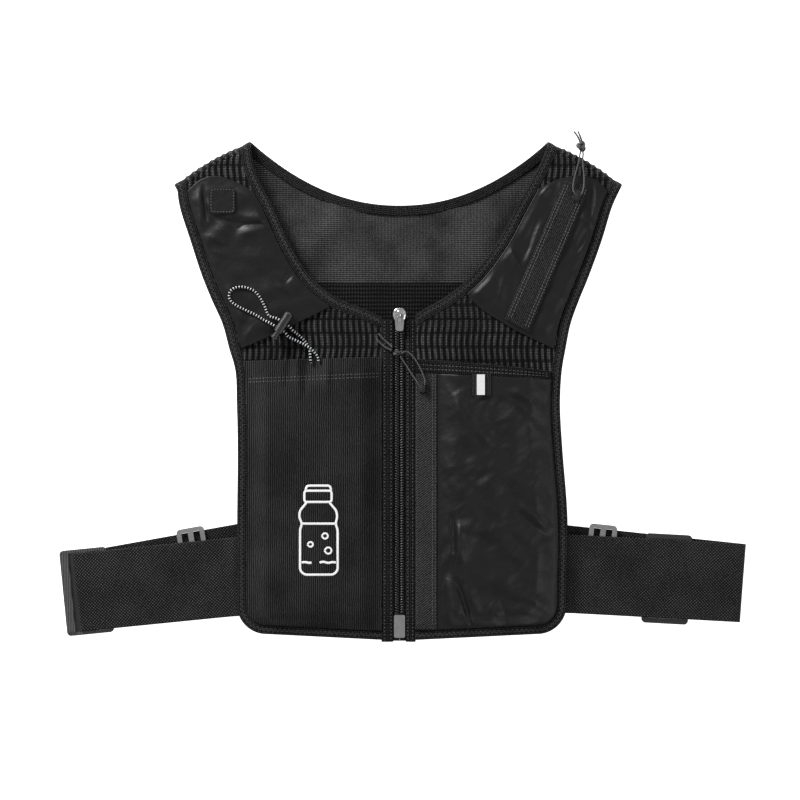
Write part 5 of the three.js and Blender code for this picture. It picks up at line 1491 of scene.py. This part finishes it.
def hard(name, dark, light, rough, grain, deep, ridge=0.0, fixed=GLOSS):
    """A moulded or cast finish: noise of one grain sets its colour, its dullness and a faint relief. Ridges,
    where asked for, add relief and a painted highlight on their tops.
    """
    tree = open_finish(name)
    where = add(tree, "TexCoord").outputs["Object"]
    noise = add(tree, "TexNoise", {"Vector": where, "Scale": 1 / (grain * MM), "Detail": 4.0})
    span = {"From Min": 0.3, "From Max": 0.7, "To Min": rough * 0.85, "To Max": rough * 1.2}
    dull = add(tree, "MapRange", {"Value": noise, **span})
    relief = add(tree, "Math", {0: noise, 1: deep}, operation="MULTIPLY")
    wave = {"Vector": where, "Scale": BAND / (BUCKLE_RIDGE * MM), "Distortion": 0.8}
    ribs = add(tree, "TexWave", wave, bands_direction="X")
    height = add(tree, "Math", {0: ribs, 1: ridge, 2: relief}, operation="MULTIPLY_ADD")
    # Where ridge is set, the ridges' tops are painted lighter: a painted highlight
    mottle_and_ridge_highlight = add(tree, "Math", {0: ribs, 1: ridge, 2: noise}, operation="MULTIPLY_ADD")
    colour = add(tree, "MixRGB", {"Fac": mottle_and_ridge_highlight, "Color1": linear(dark), "Color2": linear(light)})
    close_finish(tree, colour, dull, height, fixed)


def zigzag(tree, colour):
    """The thread of a zigzag seam: its place across the tape swings with a triangle wave along it."""
    run = add(tree, "SeparateXYZ", {0: add(tree, "UVMap", uv_map="Cloth")})
    swing = add(tree, "Math", {0: run.outputs[1], 1: 1.7 * MM}, operation="PINGPONG")
    pen = add(tree, "Math", {0: swing, 1: 1.4, 2: 3.4 * MM}, operation="MULTIPLY_ADD")
    thread = add(tree, "Math", {0: run.outputs[0], 1: pen, 2: 0.38 * MM}, operation="COMPARE")
    return add(tree, "MixRGB", {"Fac": thread, "Color1": colour, "Color2": linear("404040")})


# %% Cloth finishes
# Threads are drawn coarser than real ones, which would be too fine to show in the picture

# Fine mesh: an even net of thin lines, pale where the light comes through it
cloth("fine knit mesh", [(0, 1.1), (90, 1.5)], "080808", "646464", 0.7, 0.3, "Object", 0.7, 0.5)
# Lower back: the same dark mesh as the fronts, seen flat, with upright lines
cloth("flat rib mesh", [(0, 2.2), (90, 3.0)], "020202", "2c2c2c", 0.75, 0.3, "Object")
# Spacer mesh: bright cords over a ground that is nearly black, darkened further between the cords with
# painted shade
cloth("spacer mesh", [(0, 1.1), (90, 1.2)], "010101", "7c7c7c", 0.6, 0.3, "Object", painted_shade=True)
# Satin: a close smooth weave with a broad soft sheen and small crumples
cloth("stretch satin", [(45, 0.7), (-45, 0.7)], "060606", "181818", 0.46, 0.02, "Object", crumple=0.5,
      fixed=SHINY)
# Rib knit: fine wavy upright lines
cloth("rib knit", [(0, 1.6)], "020202", "343434", 0.65, 0.4, "Object", 2.2)
# Folded tape: speckled knit with a zigzag seam
cloth("folded elastic tape", [(0, 1.5), (90, 1.2)], "010101", "3e3e3e", 0.65, 0.5, speckle=0.9, over=zigzag)
# Plackets and the pocket's mouth: the same speckled knit without the zigzag
cloth("plain elastic tape", [(0, 1.6), (90, 1.3)], "010101", "323232", 0.65, 0.5, speckle=0.95)
# Side elastic: a firm weave, whose threads cross on both slants
cloth("woven side elastic", [(45, 1.7), (-45, 1.7)], "050505", "4c4c4c", 0.55, 0.35, speckle=0.6)
# Twill tape: paler, with a sparkling slanting weave
cloth("twill tape", [(52, 1.4)], "060606", "3a3a3a", 0.5, 0.35, bend=1.8, speckle=0.9)
# Puller cord: a tight dark braid
cloth("braided puller cord", [(45, 1.1)], "0c0c0c", "6a6a6a", 0.5, 0.15, bend=0.2)

print("cloths:", len(FINISHES))

# %% Hard finishes
# Nylon coil: drawn thread, with a small gloss on each tooth
hard("nylon coil", "0c0c0c", "1c1c1c", 0.34, 2, 0.02)
# Sewing thread: spun, paler than the cloth and dull
hard("sewing thread", "2e2e2e", "525252", 0.5, 1.2, 0.05)
# Polished zinc: cast, plated and buffed, so that it mirrors the lamps; its colour is painted in pale and
# darker patches, which are painted reflections
hard("polished zinc", "a4a4a4", "ffffff", 0.2, 3, 0.1, fixed={"Metallic": 1.0})
# Painted metal: stoved enamel on a cast slider, smooth and dimly glossy
hard("dark painted metal", "1a1a1a", "343434", 0.35, 2, 0.03, fixed={"Metallic": 0.3, "Coat Weight": 0.3})
# Moulded acetal: even in colour, with a satin gloss
hard("light grey plastic", "666666", "808080", 0.4, 3, 0.05)
# The same acetal in black, moulded with fine ridges whose tops are painted lighter, a painted highlight
hard("ridged buckle plastic", "0e0e0e", "525252", 0.42, 2, 0.05, 0.7)
# And plain, where the buckle has no ridges
hard("dark buckle plastic", "161616", "262626", 0.45, 2, 0.05)
# Polished moulding: nearly black, with small sharp lights
hard("lock plastic", "121212", "1e1e1e", 0.28, 4, 0.02, fixed={"Coat Weight": 0.25})
# Reflective tape: glass beads on cloth, which look pale grey and dull by day
hard("reflective tape", "c8c8c8", "e6e6e6", 0.35, 0.8, 0.05)
# White ink: thick and matt
hard("white print", "dcdcde", "f2f2f3", 0.55, 0.9, 0.06)

# %% Cord with reflective flecks
# Reflective threads are braided into a dark cord, and show as pale flecks that step round it
FLECK_BEAT = 1.1
FLECK_ROUND = 1.047  # a sixth of the way round the cord
tree = open_finish("cord with flecks")
run = add(tree, "SeparateXYZ", {0: add(tree, "UVMap", uv_map="Cloth")})
beat = add(tree, "Math", {0: run.outputs[1], 1: FLECK_BEAT * MM}, operation="PINGPONG")
around = add(tree, "Math", {0: run.outputs[0], 1: FLECK_ROUND * MM}, operation="PINGPONG")
near = add(tree, "Math", {0: beat, 1: 0.0, 2: 0.36 * MM}, operation="COMPARE")
beside = add(tree, "Math", {0: around, 1: 0.5 * MM, 2: 0.4 * MM}, operation="COMPARE")
fleck = add(tree, "Math", {0: near, 1: beside}, operation="MULTIPLY")
colour = add(tree, "MixRGB", {"Fac": fleck, "Color1": linear("0d0d0f"), "Color2": linear("e4e6e9")})
close_finish(tree, colour, 0.45, fleck, SOFT)
print("finishes:", len(FINISHES))

# %% [markdown]
# ## Riding and replacing
#
# Each finished surface takes its finish, rides on the vest and takes the place of its plain solid, which is
# hidden. The hard pieces keep their solids and take their finish as they are.

# %% Say what each piece stands for
def dress(piece, finish, slot, *nodes):
    """The piece takes its finish, rides on the vest and hides the solids that it stands for."""
    piece.data.materials.append(FINISHES[finish])
    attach(piece, "vest")
    if nodes:
        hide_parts(*nodes)


dress(back_yoke, "fine knit mesh", "fine_mesh", "back_yoke")
dress(back_lower, "flat rib mesh", "rib_mesh", "back_lower")
dress(neck_tape, "folded elastic tape", "binding", "binding_neck")
dress(flask_pocket, "rib knit", "rib_knit", "flask_pocket")
dress(phone_pocket, "stretch satin", "satin", "phone_pocket")
dress(pocket_hem, "plain elastic tape", "binding", "pocket_hem")
dress(phone_tape, "twill tape", "zip_tape", "phone_zip_tape")
dress(slanting, "twill tape", "zip_tape", "shoulder_zip_tape")
dress(coil, "nylon coil", "coil", "zip_chain")
for side in HALVES:
    dress(spacer[side.name], "spacer mesh", "rib_mesh", f"front_mesh_{side.name}")
    dress(folds[side.name], "spacer mesh", "rib_mesh", f"shoulder_fold_{side.name}")
    dress(tapes[side.name], "folded elastic tape", "binding", f"binding_{side.name}")
    dress(satin[side.name], "stretch satin", "satin", f"shoulder_pocket_{side.name}")
    dress(straps[side.name], "woven side elastic", "elastic", f"strap_{side.name}")
    dress(plackets[side.name], "plain elastic tape", "binding", f"placket_{side.name}")
    dress(zip_tapes[side.name], "twill tape", "zip_tape", f"zip_tape_{side.name}")
for piece in stitches.values():
    dress(piece, "sewing thread", "binding")
dress(bottle, "white print", "reflective_tape")
dress(web, "dark buckle plastic", "buckle_plastic")
dress(plate, "polished zinc", "slider_metal", "zip_slider")
dress(crown, "polished zinc", "slider_metal")

dress(elastic, "cord with flecks", "reflective_cord", "elastic_cord")
PULLERS = {"upper": (upper, upper_knot), "lower": (lower, lower_knot)}
for key, (line, tied) in PULLERS.items():
    dress(line, "braided puller cord", "puller_cord", f"puller_cord_{key}")
    dress(tied, "braided puller cord", "puller_cord", f"puller_knot_{key}")
    for piece in tails[key]:
        dress(piece, "braided puller cord", "puller_cord")
print("pullers:", list(PULLERS))

# %% Finishes of the hard pieces
SOLIDS = {
    "shoulder_patch": "stretch satin", "label_tab": "rib knit", "label_stripe": "reflective tape",
    "zip_pull": "light grey plastic", "zip_box": "light grey plastic",
    "phone_zip_slider": "dark painted metal", "shoulder_zip_slider": "dark painted metal",
    "buckle_left": "ridged buckle plastic", "buckle_right": "dark buckle plastic",
    "tri_glide_left": "light grey plastic", "tri_glide_right": "light grey plastic",
    "cord_lock_barrel": "lock plastic", "cord_lock_plunger": "lock plastic",
}
for node, finish in SOLIDS.items():
    mesh = bpy.data.objects[node].data
    mesh.materials.clear()
    mesh.materials.append(FINISHES[finish])
print("solids with a finish:", len(SOLIDS))

# %% [markdown]
# ## Cord lengths
#
# A cord is more than its shape: how long it is and what hangs on it matter too. Each cord's run is worked
# out along its curve, and its length is printed with the number of pieces that ride on it.


def declare(piece, run, pieces=()):
    """Works out a cord's run as a path of points, which is not used further, and prints its length and how
    many pieces ride on it.
    """
    path = [tuple(map(float, p)) for p in run(np.linspace(0, 1, 160))[0]]
    print(piece.name, round(run.length / MM), "mm with", len(pieces), "pieces on it")


declare(elastic, elastic_run)
declare(upper, upper_run, [upper_knot, *tails["upper"]])
declare(lower, lower_run, [lower_knot, *tails["lower"]])


# %% [markdown]
# ## Light and floor
#
# The vest is black, so what shows its cloth is light that grazes it. A large soft lamp stands low at the
# upper left, a weaker one opposite, and a pale floor and sky fill in the rest. The floor also glows, so
# that it is as white as the photograph's paper.

# %% Floor, lights and world
FLOOR_HALF = 3
SKY = 0.4
corners = np.array([(-1, -1, 0), (1, -1, 0), (1, 1, 0), (-1, 1, 0)]) * FLOOR_HALF
floor_mesh = build_mesh("floor", corners, np.array([(0, 1, 2, 3)]))
tree = open_finish("studio paper")
glow = {"Emission Color": (1, 1, 1, 1), "Emission Strength": 1.0}
close_finish(tree, linear("f4f4f4"), 0.9, 0.0, glow)
floor_mesh.data.materials.append(FINISHES["studio paper"])


def lamp(name, where, size, power):
    """A square soft lamp that looks at the vest. Places and sizes are in metres, the power in watts."""
    data = bpy.data.lights.new(name, "AREA")
    data.size = size
    data.energy = power
    lit = bpy.data.objects.new(name, data)
    lit.location = where
    yaw = math.atan2(where[1], where[0]) + math.pi / 2
    pitch = math.atan2(math.hypot(where[0], where[1]), where[2])
    lit.rotation_euler = (pitch, 0, yaw)
    bpy.context.scene.collection.objects.link(lit)


lamp("key", (-1.1, 1.3, 0.75), size=0.6, power=58)
lamp("fill", (1.2, -0.6, 1.3), size=1.0, power=8)

world = bpy.data.worlds.new("studio")
bpy.context.scene.world = world
world.use_nodes = True
sky = world.node_tree.nodes["Background"].inputs
sky["Color"].default_value = (1, 1, 1, 1)
sky["Strength"].default_value = SKY

# The picture keeps the paper white and the cloth's greys as they are, without a film's curve
bpy.context.scene.view_settings.view_transform = "Standard"
print("lamps:", [light.name for light in bpy.data.lights])
